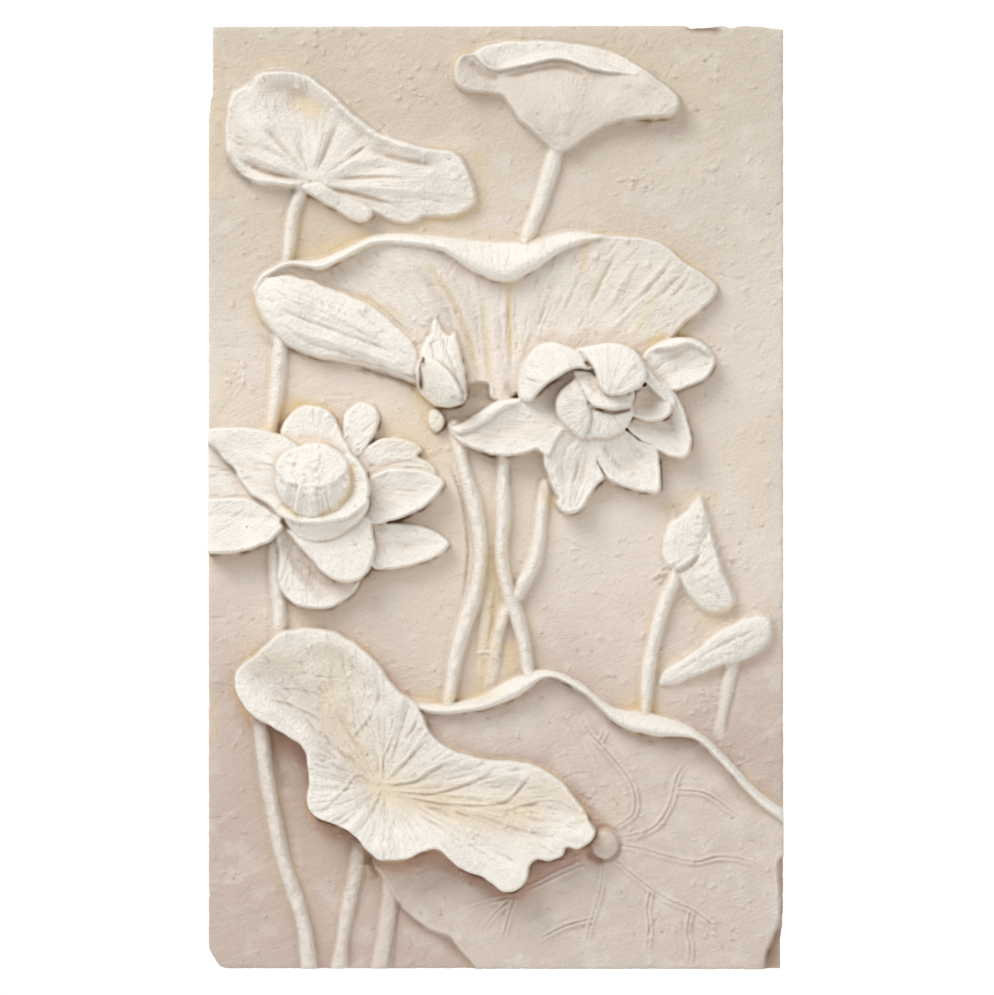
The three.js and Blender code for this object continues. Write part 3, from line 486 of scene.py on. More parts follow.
MIDDLE_HEART = (505, 425)
fan(middle_leaf[:1], MIDDLE_HEART, 1.2, 6, 33, hub=18)
for path, depth, width in (
    ([(384, 246), (406, 270), (430, 300), (446, 332)], -6.5, 10.0),
    ([(402, 252), (424, 276), (446, 306), (458, 336)], 2.6, 3.4),
    ([(424, 256), (448, 286), (464, 314), (472, 345)], -3.6, 5.5),
    ([(396, 262), (416, 286), (436, 316)], 1.2, 2.0),
    ([(283, 274), (330, 288), (370, 305), (408, 333), (420, 352)], 2.4, 3.0),
    ([(268, 292), (310, 304), (350, 322), (385, 340), (408, 352)], -3.0, 6.0),
    ([(270, 314), (300, 332), (340, 346), (380, 358), (408, 370)], -3.0, 4.0),
    ([(266, 302), (300, 318), (345, 335), (385, 350), (411, 362)], 3.4, 2.2),
    ([(272, 286), (306, 296), (340, 312), (372, 330)], 2.2, 1.8),
    ([(276, 322), (306, 342), (345, 354), (384, 366)], 2.4, 1.8),
    ([(300, 312), (330, 322), (366, 338)], 1.2, 1.6),
    ([(284, 300), (320, 312), (356, 330), (396, 350)], 2.0, 1.6),
    ([(430, 268), (455, 305), (470, 345), (478, 385)], 3.4, 3.0),
    ([(440, 268), (464, 300), (474, 330), (484, 380)], -1.8, 3.0),
    ([(483, 300), (484, 335), (487, 360), (491, 384)], 2.2, 2.0),
    ([(476, 300), (478, 335), (482, 384)], 1.4, 1.6),
    ([(508, 284), (509, 310), (510, 350), (508, 390)], 3.4, 2.2),
    ([(514, 284), (515, 310), (516, 350), (513, 388)], 1.2, 1.6),
    ([(492, 290), (494, 330), (497, 370), (499, 395)], -3.4, 5.0),
    ([(520, 388), (527, 350), (550, 300), (568, 262)], 1.6, 3.0),
    ([(534, 384), (548, 340), (566, 306)], 1.0, 2.0),
    ([(587, 242), (584, 262), (572, 296), (556, 330)], 1.6, 3.0),
    ([(625, 246), (612, 262), (597, 292), (584, 320)], 3.4, 2.2),
    ([(616, 262), (604, 284), (592, 308)], -1.0, 1.6),
    ([(652, 288), (630, 310), (607, 334)], -3.2, 2.4),
    ([(658, 282), (636, 302), (612, 324)], 3.0, 2.2),
    ([(690, 268), (672, 284), (656, 302)], 3.2, 2.2),
    ([(694, 271), (682, 286), (668, 302)], 2.6, 1.8),
    ([(676, 256), (660, 276), (640, 296)], 2.4, 2.0),
    ([(640, 256), (624, 280), (606, 312)], -2.8, 3.0),
    ([(668, 262), (650, 282), (628, 304)], -2.6, 3.0),
):
    crease(path, 0.75 * depth, width, middle_leaf[:2], fade=0.3)

# The bud that hangs before the middle leaf: three pointed petals behind, an egg-shaped one before them, and a
# lump of paste below. Its stem has a groove along its left side, which is cut into the ground alone.
bud = [
    form(  # three pointed ones behind
        outline=[(421, 356), (422, 348), (426, 340), (430, 336), (432, 326), (436, 319), (440, 325),
            (445, 334), (450, 337), (455, 333), (458, 340), (460, 348), (463, 362), (466, 382), (466, 399),
            (459, 405), (448, 408), (436, 406), (425, 398), (419, 388), (417, 372), (420, 361)],
        posts=[(435, 324, 18), (428, 344, 22), (456, 340, 20), (440, 372, 32), (420, 375, 27), (464, 378, 26),
            (440, 404, 24)],
        bulge=5, reach=10,
    ),
    form(
        outline=[(420, 373), (422, 363), (430, 360), (438, 362), (447, 370), (455, 381), (461, 392),
            (458, 402), (445, 406), (430, 402), (421, 392)],
        posts=[(430, 362, 34), (440, 385, 35), (440, 404, 26)],
        bulge=6, reach=14,
    ),
    form(
        outline=[(428, 418), (430, 411), (438, 409), (444, 416), (444, 425), (438, 432), (431, 429)],
        posts=[(430, 412, 7), (443, 420, 7), (436, 430, 7)],
        bulge=5, reach=7,
    ),
]
fan(bud[:2], (440, 416), 0.8, 16, 35, hub=8)
crease([(431, 361), (438, 362), (446, 369), (455, 380), (461, 392)], 2.4, 1.4)
crease([(442, 336), (446, 350), (452, 364), (459, 380)], 2.6, 1.4, bud[:1])
crease([(430, 342), (434, 352), (436, 360)], 2.4, 1.4, bud[:1])
crease([(424, 358), (423, 364)], 3.0, 2.0)
crease([(450, 467), (461, 495), (467, 530), (468, 560), (463, 595)], 2.2, 1.5, [0], fade=0.2)
crease([(447, 467), (457, 495), (463, 530), (464, 560), (459, 595)], -1.0, 2.0, [0], fade=0.2)
crease([(421, 380), (422, 387)], 3.0, 1.8)

# The left flower, seen a little from above: two wreaths of boat-shaped petals, a cup, and the seed pod in its
# middle with a pleated side and a rounded top. The panel's edge cuts it off.
left_flower = [
    form(  # one almost hidden between two others at the left
        outline=[(200, 440), (222, 452), (240, 470), (262, 492), (290, 512), (288, 526), (262, 514),
            (235, 508), (200, 508)],
        posts=[(205, 470, 11), (232, 482, 15), (250, 496, 20), (285, 518, 32), (205, 504, 14)],
        edge=3, white=0.6,
    ),
    form(
        outline=[(352, 470), (360, 455), (372, 443), (390, 438), (406, 440), (423, 449), (417, 456),
            (430, 463), (437, 474), (420, 484), (380, 486)],
        posts=[(366, 452, 22), (395, 442, 18), (421, 450, 15), (432, 468, 14), (385, 470, 20)],
    ),
    form(
        outline=[(366, 512), (385, 522), (405, 524), (428, 529), (442, 536), (449, 543), (444, 551),
            (430, 559), (408, 566), (388, 569), (374, 567), (362, 548)],
        posts=[(370, 540, 22), (447, 544, 19), (415, 527, 17), (400, 566, 22), (405, 545, 16)],
    ),
    form(
        outline=[(279, 530), (280, 560), (279, 580), (284, 593), (294, 604), (312, 608), (330, 607),
            (347, 598), (358, 586), (362, 570), (345, 540), (310, 520)],
        posts=[(281, 550, 20), (284, 592, 22), (318, 607, 22), (356, 588, 15), (322, 575, 12),
            (310, 535, 14)],
    ),
    form(
        outline=[(343, 428), (345, 414), (353, 406), (364, 403), (375, 407), (380, 416), (377, 430),
            (370, 443), (359, 457), (350, 460), (345, 443)],
        posts=[(345, 420, 14), (376, 412, 13), (356, 454, 22)],
        bulge=4, reach=12,
    ),
    form(
        outline=[(281, 433), (286, 420), (294, 411), (306, 406), (320, 407), (330, 412), (337, 422),
            (343, 435), (349, 448), (350, 464), (320, 470), (288, 452)],
        posts=[(310, 409, 20), (283, 432, 18), (338, 424, 21), (315, 432, 24), (318, 460, 34)],
        bulge=2, reach=8,
    ),
    form(
        outline=[(200, 430), (230, 428), (252, 429), (270, 432), (287, 438), (302, 448), (320, 462),
            (310, 500), (286, 518), (268, 503), (252, 493), (243, 481), (236, 469), (226, 461), (216, 449),
            (200, 436)],
        posts=[(210, 433, 21), (250, 431, 29), (292, 443, 38), (222, 456, 25), (244, 482, 31), (280, 510, 42),
            (252, 456, 25), (288, 482, 44), (288, 462, 42)],
        edge=3,
    ),
    form(
        outline=[(200, 503), (225, 499), (246, 499), (262, 505), (276, 514), (287, 522), (281, 531),
            (270, 541), (256, 547), (240, 551), (222, 553), (200, 549)],
        posts=[(205, 504, 22), (245, 501, 25), (283, 523, 35), (250, 549, 33), (207, 548, 29),
            (240, 526, 23)],
    ),
    form(
        outline=[(360, 490), (370, 477), (385, 471), (402, 469), (420, 471), (436, 475), (444, 482),
            (440, 491), (430, 502), (416, 511), (400, 518), (384, 522), (371, 523), (360, 508)],
        posts=[(368, 480, 30), (402, 471, 28), (442, 482, 27), (415, 511, 33), (376, 522, 32), (385, 494, 22),
            (418, 488, 23)],
    ),
    form(
        outline=[(286, 526), (294, 539), (304, 551), (314, 562), (324, 572), (335, 579), (348, 582),
            (359, 579), (368, 571), (373, 560), (375, 547), (373, 534), (369, 518), (340, 508), (300, 508)],
        posts=[(292, 534, 33), (330, 574, 35), (350, 580, 35), (373, 545, 35), (335, 550, 32)],
        bulge=2, reach=8,
    ),
    form(  # the outer face of the cup round the seed pod
        outline=[(285, 517), (292, 529), (303, 538), (320, 541), (338, 537), (352, 528), (366, 513),
            (368, 498), (340, 500), (300, 502)],
        posts=[(292, 529, 37), (320, 540, 35), (352, 528, 36), (290, 514, 46), (320, 520, 51),
            (352, 512, 50)],
    ),
    form(  # the cup's inner side, which shows as a crescent
        outline=[(349, 454), (358, 460), (366, 471), (370, 487), (366, 503), (352, 516), (335, 521),
            (310, 523), (286, 518), (283, 511), (300, 500), (340, 480)],
        posts=[(352, 466, 46), (352, 490, 45), (335, 508, 45), (300, 516, 45), (366, 478, 50), (367, 500, 54),
            (345, 519, 53), (310, 522, 50), (287, 517, 46)],
        rim=0.5, edge=1.8,
    ),
    form(  # the seed pod
        posts=[(278, 470, 50), (352, 470, 51), (312, 448, 48), (312, 490, 60), (288, 488, 55), (338, 488, 56),
            (312, 516, 46), (290, 508, 45), (336, 507, 46)],
        outline=oval((315, 480), 37, 37), rim=0.2, edge=3, bulge=1.5, reach=8,
    ),
    form(  # its rounded top
        posts=[(277, 468, 55), (349, 468, 56), (312, 447, 50), (312, 488, 62), (312, 467, 57)],
        outline=oval((313, 467), 36, 21), rim=1.0, edge=3.5, bulge=0.8, reach=8,
    ),
]
POD = (313, 476)
fan(left_flower[:10], POD, 0.8, 5, 36, hub=40)
fan(left_flower[12:13], (313, 425), 3.0, 4, 37, hub=14)
fan(left_flower[10:12], POD, 0.4, 12, 38, hub=5)
for path, depth, width in (
    ([(374, 512), (400, 506), (425, 494), (438, 484)], 1.2, 4.0),
    ([(374, 545), (400, 546), (425, 544), (444, 543)], 1.6, 4.5),
    ([(380, 534), (405, 534), (430, 538)], -1.0, 1.8),
    ([(284, 540), (290, 565), (302, 585), (322, 598)], -1.6, 3.0),
    ([(300, 556), (318, 576), (336, 588)], 2.6, 4.0),
    ([(298, 437), (308, 440), (321, 437)], 1.6, 3.0),
    ([(228, 440), (250, 460), (272, 490), (282, 510)], 1.6, 5.0),
    ([(214, 512), (240, 516), (266, 519), (284, 522)], 1.6, 4.0),
    ([(346, 424), (350, 438), (354, 452)], 1.2, 2.0),
    ([(372, 462), (392, 452), (410, 452)], 1.4, 2.4),
    ([(376, 470), (400, 462), (424, 464)], 1.6, 2.0),
):
    crease(path, depth, width, left_flower[:10])
crease([(284, 522), (288, 528)], 8.0, 2.2, fade=0)

# The right flower, half open and turned down: five spread petals, a hood and a flap over the middle, and
# closed petals below them.
right_flower = [
    form(  # the petal at the upper right
        outline=[(640, 366), (648, 350), (660, 343), (680, 338), (697, 341), (708, 349), (714, 360),
            (711, 371), (702, 380), (688, 386), (672, 391), (650, 388)],
        posts=[(646, 360, 26), (680, 341, 22), (711, 360, 20), (690, 385, 24), (655, 384, 28),
            (680, 364, 15)],
    ),
    lip(
        outer=[(645, 354), (655, 345), (668, 340), (682, 338), (698, 342), (711, 352)],
        inner=[(655, 350), (664, 350), (676, 348), (687, 345), (698, 348), (708, 355)],
        low=23, high=30, fade=4,
    ),
    form(  # the one below it
        outline=[(655, 380), (670, 389), (680, 404), (686, 419), (690, 436), (689, 452), (683, 458),
            (672, 457), (657, 450), (642, 441), (628, 431), (620, 418), (638, 394)],
        posts=[(668, 392, 27), (688, 436, 25), (679, 457, 26), (645, 441, 28), (625, 424, 30), (665, 424, 16),
            (645, 405, 22)],
    ),
    form(  # the lower right one
        outline=[(588, 436), (620, 428), (640, 441), (655, 447), (659, 462), (660, 480), (658, 492),
            (645, 492), (630, 488), (614, 483), (605, 476), (597, 462), (590, 448)],
        posts=[(594, 446, 28), (656, 452, 23), (657, 489, 24), (615, 482, 24), (628, 464, 15),
            (620, 434, 28)],
    ),
    form(  # the turned edge beside the lowest one
        outline=[(546, 444), (554, 430), (561, 424), (562, 434), (557, 450), (557, 466), (561, 482),
            (567, 497), (561, 500), (553, 488), (547, 472), (543, 456)],
        posts=[(557, 436, 33), (548, 456, 29), (552, 476, 24), (563, 496, 19)],
        rim=0.4,
    ),
    form(  # the lowest one
        outline=[(553, 428), (575, 430), (590, 436), (594, 452), (599, 466), (604, 477), (597, 484),
            (590, 494), (583, 506), (574, 513), (563, 511), (556, 503), (560, 496), (555, 480), (550, 462),
            (549, 445)],
        posts=[(552, 442, 31), (552, 468, 26), (568, 511, 22), (600, 478, 23), (590, 440, 30), (577, 472, 15),
            (574, 440, 26)],
    ),
    form(  # the long one at the left
        outline=[(452, 429), (465, 423), (480, 413), (494, 404), (508, 400), (530, 400), (552, 400),
            (564, 416), (563, 430), (554, 443), (549, 456), (541, 453), (536, 450), (520, 454), (503, 456),
            (487, 453), (470, 447), (458, 440)],
        posts=[(453, 430, 19), (485, 412, 26), (530, 402, 30), (505, 456, 31), (540, 452, 32), (512, 428, 20),
            (558, 422, 33), (470, 446, 25)],
    ),
    lip(
        outer=[(451, 428), (466, 421), (482, 411), (497, 402), (514, 399), (540, 399)],
        inner=[(459, 434), (474, 429), (489, 420), (503, 409), (518, 404), (542, 403)],
        low=24, high=31, fade=4,
    ),
    form(  # the hollow behind the hooded one
        outline=[(520, 402), (532, 384), (560, 368), (590, 366), (602, 385), (592, 408), (570, 430),
            (554, 424)],
        posts=[(530, 392, 24), (590, 380, 30), (565, 424, 30), (560, 392, 15)],
    ),
    form(  # the small cup at the right of the middle
        outline=[(626, 398), (638, 388), (650, 385), (661, 393), (669, 402), (670, 412), (663, 419),
            (650, 421), (638, 418), (626, 412)],
        posts=[(630, 392, 34), (668, 404, 37), (652, 420, 38), (630, 414, 36), (646, 402, 22)],
    ),
    form(  # the edge between it and the upper right petal
        outline=[(638, 358), (648, 370), (660, 384), (673, 397), (673, 406), (660, 398), (648, 387),
            (640, 377)],
        posts=[(640, 364, 40), (662, 382, 34), (650, 388, 38), (672, 402, 32)],
    ),
    form(
        outline=[(588, 404), (610, 408), (631, 406), (630, 420), (622, 432), (610, 438), (597, 438),
            (585, 437), (587, 420)],
        posts=[(590, 410, 42), (628, 410, 42), (606, 437, 34)],
        bulge=4, reach=14,
    ),
    form(
        outline=[(573, 372), (592, 374), (602, 388), (617, 394), (632, 390), (631, 404), (615, 409),
            (600, 408), (589, 404), (581, 391)],
        posts=[(582, 384, 44), (608, 407, 52), (630, 398, 48)],
    ),
    form(
        outline=[(575, 378), (577, 382), (583, 392), (588, 403), (590, 416), (587, 430), (582, 438),
            (572, 432), (562, 422), (556, 411), (556, 400), (561, 390), (568, 384)],
        posts=[(575, 384, 42), (588, 412, 44), (580, 436, 36), (558, 406, 38)],
        bulge=7, reach=14,
    ),
    form(  # the hooded one at the left of the middle
        outline=[(520, 399), (518, 384), (522, 369), (529, 355), (538, 346), (550, 343), (562, 345),
            (574, 350), (584, 356), (594, 365), (590, 370), (578, 369), (567, 372), (558, 378), (548, 384),
            (540, 391), (530, 401)],
        posts=[(521, 388, 32), (532, 352, 36), (560, 347, 42), (588, 364, 48), (562, 371, 54),
            (535, 392, 46)],
        bulge=3, reach=10,
    ),
    form(  # the broad flap in the middle
        outline=[(576, 350), (590, 346), (605, 344), (622, 345), (634, 351), (641, 361), (646, 373),
            (643, 384), (632, 391), (617, 396), (606, 395), (600, 388), (596, 378), (592, 367), (585, 357)],
        posts=[(590, 350, 46), (625, 348, 46), (644, 374, 52), (615, 394, 60), (597, 374, 56)],
        bulge=6, reach=16,
    ),
]
FLOWER_HEART = (604, 404)
fan([*right_flower[:4], right_flower[5]], FLOWER_HEART, 1.1, 7, 39, hub=26)
fan(right_flower[6:8], (580, 420), 0.9, 5, 40, hub=20)
fan(right_flower[11:14], (604, 372), 0.7, 10, 41, hub=14)
fan(right_flower[14:], (604, 404), 1.0, 9, 42, hub=14)
for path, depth, width in (
    ([(596, 444), (604, 460), (618, 474), (640, 486)], -2.4, 2.4),
    ([(602, 444), (612, 460), (628, 474)], 1.8, 2.4),
    ([(646, 452), (651, 466), (654, 484)], 1.2, 2.2),
    ([(577, 446), (572, 470), (570, 500)], -1.8, 3.0),
    ([(566, 448), (562, 466), (564, 486)], 1.4, 2.0),
    ([(586, 446), (585, 466), (580, 488)], 1.4, 2.4),
    ([(652, 398), (668, 420), (680, 446)], 1.6, 3.0),
    ([(478, 440), (500, 434), (530, 428)], 1.2, 4.0),
    ([(656, 360), (680, 356), (700, 360)], 1.0, 3.0),
):
    crease(path, depth, width, right_flower[:8])
crease([(590, 407), (600, 410), (612, 413), (625, 411), (631, 408)], 7.0, 1.5, fade=0.3)
crease([(586, 364), (589, 367)], 6.0, 2.0, fade=0)

# The bud at the right, past its bloom, and the small leaf under it, both in low relief.
right_bud = [
    form(  # the drooping petal
        outline=[(696, 508), (704, 512), (710, 530), (715, 548), (722, 570), (730, 588), (733, 600),
            (728, 609), (715, 613), (703, 609), (693, 600), (685, 588), (679, 576), (676, 566), (686, 556),
            (694, 540)],
        posts=[(702, 516, 9), (684, 570, 7), (716, 606, 9), (708, 570, 12), (690, 585, 8)],
        bulge=3, reach=10, edge=9, rim=0.0, white=0.75,
    ),
    form(
        outline=[(664, 560), (662, 545), (666, 529), (675, 518), (686, 510), (694, 500), (699, 496),
            (704, 502), (706, 516), (706, 532), (700, 546), (694, 558), (684, 566), (673, 569)],
        posts=[(697, 502, 8), (667, 548, 8), (702, 540, 11), (680, 564, 10), (684, 536, 12)],
        bulge=5, reach=14, edge=8, rim=0.0, white=0.85,
    ),
    form(  # the small leaf seen from its edge
        outline=[(659, 685), (663, 672), (680, 660), (697, 648), (712, 635), (728, 625), (745, 618),
            (760, 615), (769, 620), (772, 629), (769, 640), (760, 650), (747, 658), (732, 663), (716, 667),
            (702, 673), (688, 679), (673, 685)],
        posts=[(664, 680, 4), (712, 638, 9), (762, 624, 10), (762, 644, 7), (710, 667, 7), (715, 652, 8)],
        bulge=5, reach=14, edge=9, rim=0.0, white=0.8,
    ),
]
fan(right_bud[:2], (676, 600), 0.7, 9, 43)
crease([(672, 676), (700, 657), (728, 641), (752, 632)], 2.4, 1.8, right_bud[2:], fade=0.3)
crease([(690, 672), (715, 660), (745, 648)], 1.4, 2.4, right_bud[2:], fade=0.3)
crease([(646, 584), (658, 574), (672, 571), (684, 563), (698, 553), (704, 540)], -3.4, 1.8, fade=0.2)
crease([(654, 577), (664, 566), (676, 562)], -2.4, 1.6, fade=0.3)
crease([(700, 512), (706, 530), (714, 552), (722, 576)], -1.8, 1.8, right_bud[:1], fade=0.3)
crease([(694, 578), (706, 574), (716, 582), (722, 596)], -2.0, 2.0, right_bud[:1], fade=0.3)
crease([(698, 598), (710, 592), (722, 602)], 1.8, 2.0, right_bud[:1], fade=0.3)
crease([(672, 574), (690, 566), (702, 548)], 2.0, 2.0, right_bud[:2], fade=0.2)

# The two great leaves at the foot. The left one is a dish that stands well off the ground, with ruffled edges
# and sunk veins. The right one lies flat, with a rolled rim, raised double veins and the knob of its stem.
lower_leaves = [
    form(  # the great leaf at the lower right, in lower relief, which runs off the panel
        outline=[(405, 700), (425, 710), (450, 711), (480, 706), (505, 699), (527, 686), (545, 676),
            (562, 678), (585, 692), (602, 710), (625, 725), (650, 731), (688, 735), (706, 746), (722, 762),
            (750, 793), (770, 810), (795, 824), (795, 846), (779, 858), (778, 885), (779, 910), (774, 932),
            (766, 950), (757, 980), (490, 980), (468, 958), (457, 945), (449, 936), (432, 929), (416, 919),
            (405, 910), (398, 901), (385, 880), (372, 860), (360, 800), (380, 740)],
        posts=[(460, 722, 7), (550, 695, 6), (650, 750, 5), (740, 800, 8), (600, 800, 11), (700, 850, 13),
            (776, 880, 15), (600, 960, 12), (700, 960, 14), (400, 902, 9), (452, 940, 12), (484, 966, 12),
            (500, 905, 11), (420, 870, 6), (540, 760, 9)],
        edge=5, rim=1.2, white=0.24,
    ),
    lip(  # its turned rim
        outer=[(403, 695), (425, 701), (450, 702), (480, 695), (510, 679), (545, 669), (580, 682), (612, 706),
            (650, 713), (690, 726), (725, 755), (760, 791), (795, 815)],
        inner=[(407, 703), (424, 711), (450, 713), (482, 709), (515, 697), (548, 677), (585, 694), (618, 724),
            (650, 734), (695, 739), (722, 764), (755, 800), (795, 830)],
        low=9, high=26, fade=9, white=0.95,
    ),
    form(  # the knob where its stem is fixed
        outline=[(590, 843), (594, 833), (604, 829), (614, 833), (618, 843), (614, 853), (604, 858),
            (594, 853)],
        posts=[(590, 843, 14), (604, 830, 14), (617, 850, 14)],
        bulge=11, reach=13, edge=2, white=0.2,
    ),
    form(  # the leaf at the lower left, an open dish that stands off the ground
        outline=[(281, 632), (295, 629), (312, 628), (328, 630), (343, 635), (357, 644), (370, 655),
            (381, 667), (390, 680), (401, 692), (412, 700), (420, 709), (425, 721), (436, 739), (450, 748),
            (466, 754), (484, 758), (504, 760), (524, 762), (541, 767), (556, 776), (568, 788), (579, 803),
            (589, 818), (595, 831), (589, 842), (577, 847), (566, 846), (562, 854), (549, 859), (537, 857),
            (530, 863), (528, 873), (523, 883), (514, 889), (503, 889), (492, 882), (482, 875), (466, 869),
            (453, 861), (443, 851), (435, 847), (424, 850), (408, 857), (392, 858), (379, 857), (368, 849),
            (359, 838), (350, 830), (337, 823), (322, 818), (311, 810), (307, 799), (310, 782), (309, 764),
            (304, 748), (290, 736), (273, 726), (256, 716), (245, 705), (237, 690), (236, 677), (242, 665),
            (255, 655), (270, 642)],
        posts=[(237, 682, 42), (258, 652, 36), (285, 632, 32), (328, 631, 28), (372, 657, 26), (402, 693, 24),
            (432, 732, 24), (480, 758, 27), (530, 764, 31), (575, 798, 37), (593, 830, 43), (560, 853, 44),
            (515, 887, 50), (480, 874, 47), (436, 848, 50), (395, 857, 48), (352, 831, 48), (308, 800, 50),
            (307, 758, 44), (265, 722, 46), (384, 788, 17), (335, 700, 15), (290, 672, 24), (355, 748, 15),
            (450, 797, 19), (520, 812, 26), (345, 795, 34), (430, 765, 20), (385, 715, 19), (560, 815, 34)],
        bulge=2.5, reach=16, rim=0.6, white=0.8,
    ),
]
flat_leaf, _, _, dish_leaf = lower_leaves


def marks(count, seed, length, width, depth, slants, burr=0.45, on=None, heart=None):
    """Short strokes of a tool, each sunk by depth with a burr along one side. Lengths, widths and slants are
    ranges. With a heart the strokes point to it, and the slants are counted from there."""
    draw = np.random.default_rng(seed)
    places = np.flatnonzero(np.isin(owner, on)) if on is not None else np.arange(owner.size)
    for place in draw.choice(places, count):
        x, y = field_x.flat[place], field_y.flat[place]
        half, wide, deep = draw.uniform(*length) / 2, draw.uniform(*width), draw.uniform(0.4, 1.0) * depth
        outwards = math.atan2(y - heart[1], x - heart[0]) if heart else 0.0
        turn = math.radians(draw.uniform(*slants)) + outwards
        bow = draw.uniform(-0.012, 0.012)
        side = draw.choice((-1, 1))
        here = window_round(np.array([(x, y)]), half + 4 * wide)
        along = (field_x[here] - x) * math.cos(turn) + (field_y[here] - y) * math.sin(turn)
        off = (field_y[here] - y) * math.cos(turn) - (field_x[here] - x) * math.sin(turn) + bow * along**2
        ends = smooth_step(half + wide, half * 0.6, np.abs(along))
        height[here] -= deep * ends * np.exp(-((off / wide) ** 2))
        height[here] += burr * deep * ends * np.exp(-(((off - side * 1.9 * wide) / (0.8 * wide)) ** 2))


def vein(path, rise=1.9, gap=2.2, fade=0.06):
    """A raised double line on the flat leaf: two thin ridges with grooves between and beside them."""
    line = smooth_line(path)
    here = window_round(line, 16)
    apart, along = distance_to(line, field_x[here], field_y[here])
    uneven = 1 + 0.25 * dents[here]
    ends = smooth_step(0, fade, along) * smooth_step(0, 0.35, 1 - along) * (owner[here] == flat_leaf)
    raised = np.exp(-(((apart - gap) / 1.3) ** 2)) - 0.35 * np.exp(-((apart / (0.5 * gap)) ** 2))
    height[here] += rise * uneven * ends * (raised - 0.3 * np.exp(-(((apart - 2.6 * gap) / 1.6) ** 2)))


for path in (
    [(612, 843), (640, 848), (665, 855), (695, 861), (718, 856), (750, 861), (776, 879)],
    [(620, 838), (652, 828), (669, 806), (678, 775), (698, 750)],
    [(674, 790), (705, 793), (735, 813), (752, 821)],
    [(614, 828), (634, 812), (632, 785), (610, 755), (587, 728), (576, 698)],
    [(612, 856), (640, 880), (668, 899), (690, 908), (712, 925), (735, 960)],
    [(603, 860), (600, 890), (590, 925), (583, 958)],
    [(595, 917), (565, 925), (532, 942)],
    [(651, 888), (647, 908), (649, 930), (645, 958)],
    [(691, 908), (687, 930), (690, 948), (686, 974)],
    [(585, 862), (560, 873), (535, 885), (512, 895)],
    [(600, 741), (606, 728)],
    [(512, 896), (485, 902), (462, 911)],
    [(512, 896), (493, 915), (478, 936)],
    [(514, 896), (508, 918), (502, 942)],
):
    vein(path)
crease([(560, 690), (584, 715), (600, 745), (618, 775), (628, 800)], 3.0, 9.0, [flat_leaf], fade=0.3)
crease([(575, 690), (598, 716), (618, 744), (640, 776), (644, 800)], -2.6, 8.0, [flat_leaf], fade=0.3)
crease([(560, 712), (580, 740), (592, 770), (602, 800)], 1.0, 1.6, [flat_leaf], fade=0.2)
crease([(572, 720), (590, 746), (604, 776)], 0.9, 1.4, [flat_leaf], fade=0.2)
crease([(690, 745), (715, 775), (745, 800), (775, 822)], 2.0, 8.0, [flat_leaf], fade=0.2)
crease([(585, 850), (596, 858), (606, 860)], 4.5, 6.0, [flat_leaf], fade=0.3)
crease(oval((604, 843), 17, 17), 2.2, 2.0, [flat_leaf], fade=0)

DISH_HEART = (384, 788)
fan([dish_leaf], DISH_HEART, 2.0, 6, 44, hub=30)
for path, depth, width in (
    ([(384, 786), (365, 760), (347, 732), (336, 705), (331, 680), (334, 655)], 2.0, 2.2),
    ([(372, 782), (352, 754), (334, 730), (318, 716), (296, 706)], 1.8, 1.6),
    ([(374, 776), (362, 752), (356, 730), (354, 704)], 1.4, 1.4),
    ([(352, 750), (330, 725), (310, 713), (290, 703), (260, 697)], 2.0, 1.6),
    ([(384, 788), (350, 768), (328, 755), (312, 752)], 2.0, 2.0),
    ([(382, 790), (360, 775), (345, 790), (323, 810)], 1.8, 1.6),
    ([(384, 788), (378, 800), (372, 812), (360, 829)], 1.6, 1.8),
    ([(386, 790), (397, 812), (393, 825), (388, 848)], 1.2, 1.8),
    ([(386, 786), (415, 781), (433, 770), (448, 761)], 2.4, 1.8),
    ([(386, 789), (410, 793), (440, 792), (480, 778), (500, 766)], 2.6, 1.8),
    ([(390, 792), (430, 801), (475, 805), (507, 800), (530, 776), (540, 772)], 2.4, 1.7),
    ([(500, 812), (520, 806), (545, 800), (568, 803)], 1.8, 1.6),
    ([(388, 782), (400, 768), (415, 752), (431, 737)], 2.0, 1.6),
    ([(384, 784), (384, 760), (392, 742), (398, 722)], 2.0, 1.6),
    ([(386, 790), (420, 803), (445, 812), (462, 825), (470, 848)], 1.8, 3.0),
    ([(470, 830), (500, 842), (520, 862)], 1.8, 2.4),
    ([(480, 815), (520, 828), (560, 836)], 1.8, 2.2),
    ([(400, 800), (425, 822), (440, 846)], 1.8, 2.2),
    ([(334, 690), (318, 668), (312, 640)], 1.4, 1.4),
    ([(335, 700), (305, 690), (280, 688)], 1.4, 1.4),
    ([(352, 740), (372, 715), (380, 690)], 1.6, 1.6),
):
    crease(path, 0.65 * depth, width, [dish_leaf], fade=0.15)
    crease([(x - 1.8, y - 2.2) for x, y in path], -0.75 * depth, 0.9 * width, [dish_leaf], fade=0.15)
for path, depth, width in (
    ([(292, 640), (335, 644), (370, 668), (394, 700), (416, 728)], -4.0, 9.0),
    ([(262, 676), (300, 692), (335, 722), (364, 756), (384, 788)], 3.6, 14.0),
    ([(248, 694), (285, 714), (316, 742), (322, 775)], -2.0, 7.0),
    ([(330, 800), (360, 818), (400, 832), (440, 830), (485, 856), (514, 874)], -2.6, 8.0),
    ([(440, 760), (500, 772), (550, 788), (580, 824)], -2.0, 7.0),
    ([(410, 795), (470, 818), (530, 832), (568, 830)], 2.4, 10.0),
):
    crease(path, depth, width, [dish_leaf], fade=0.25)
marks(260, 45, (8, 22), (1.0, 1.5), 1.0, (-14, 14), on=[dish_leaf], heart=DISH_HEART)

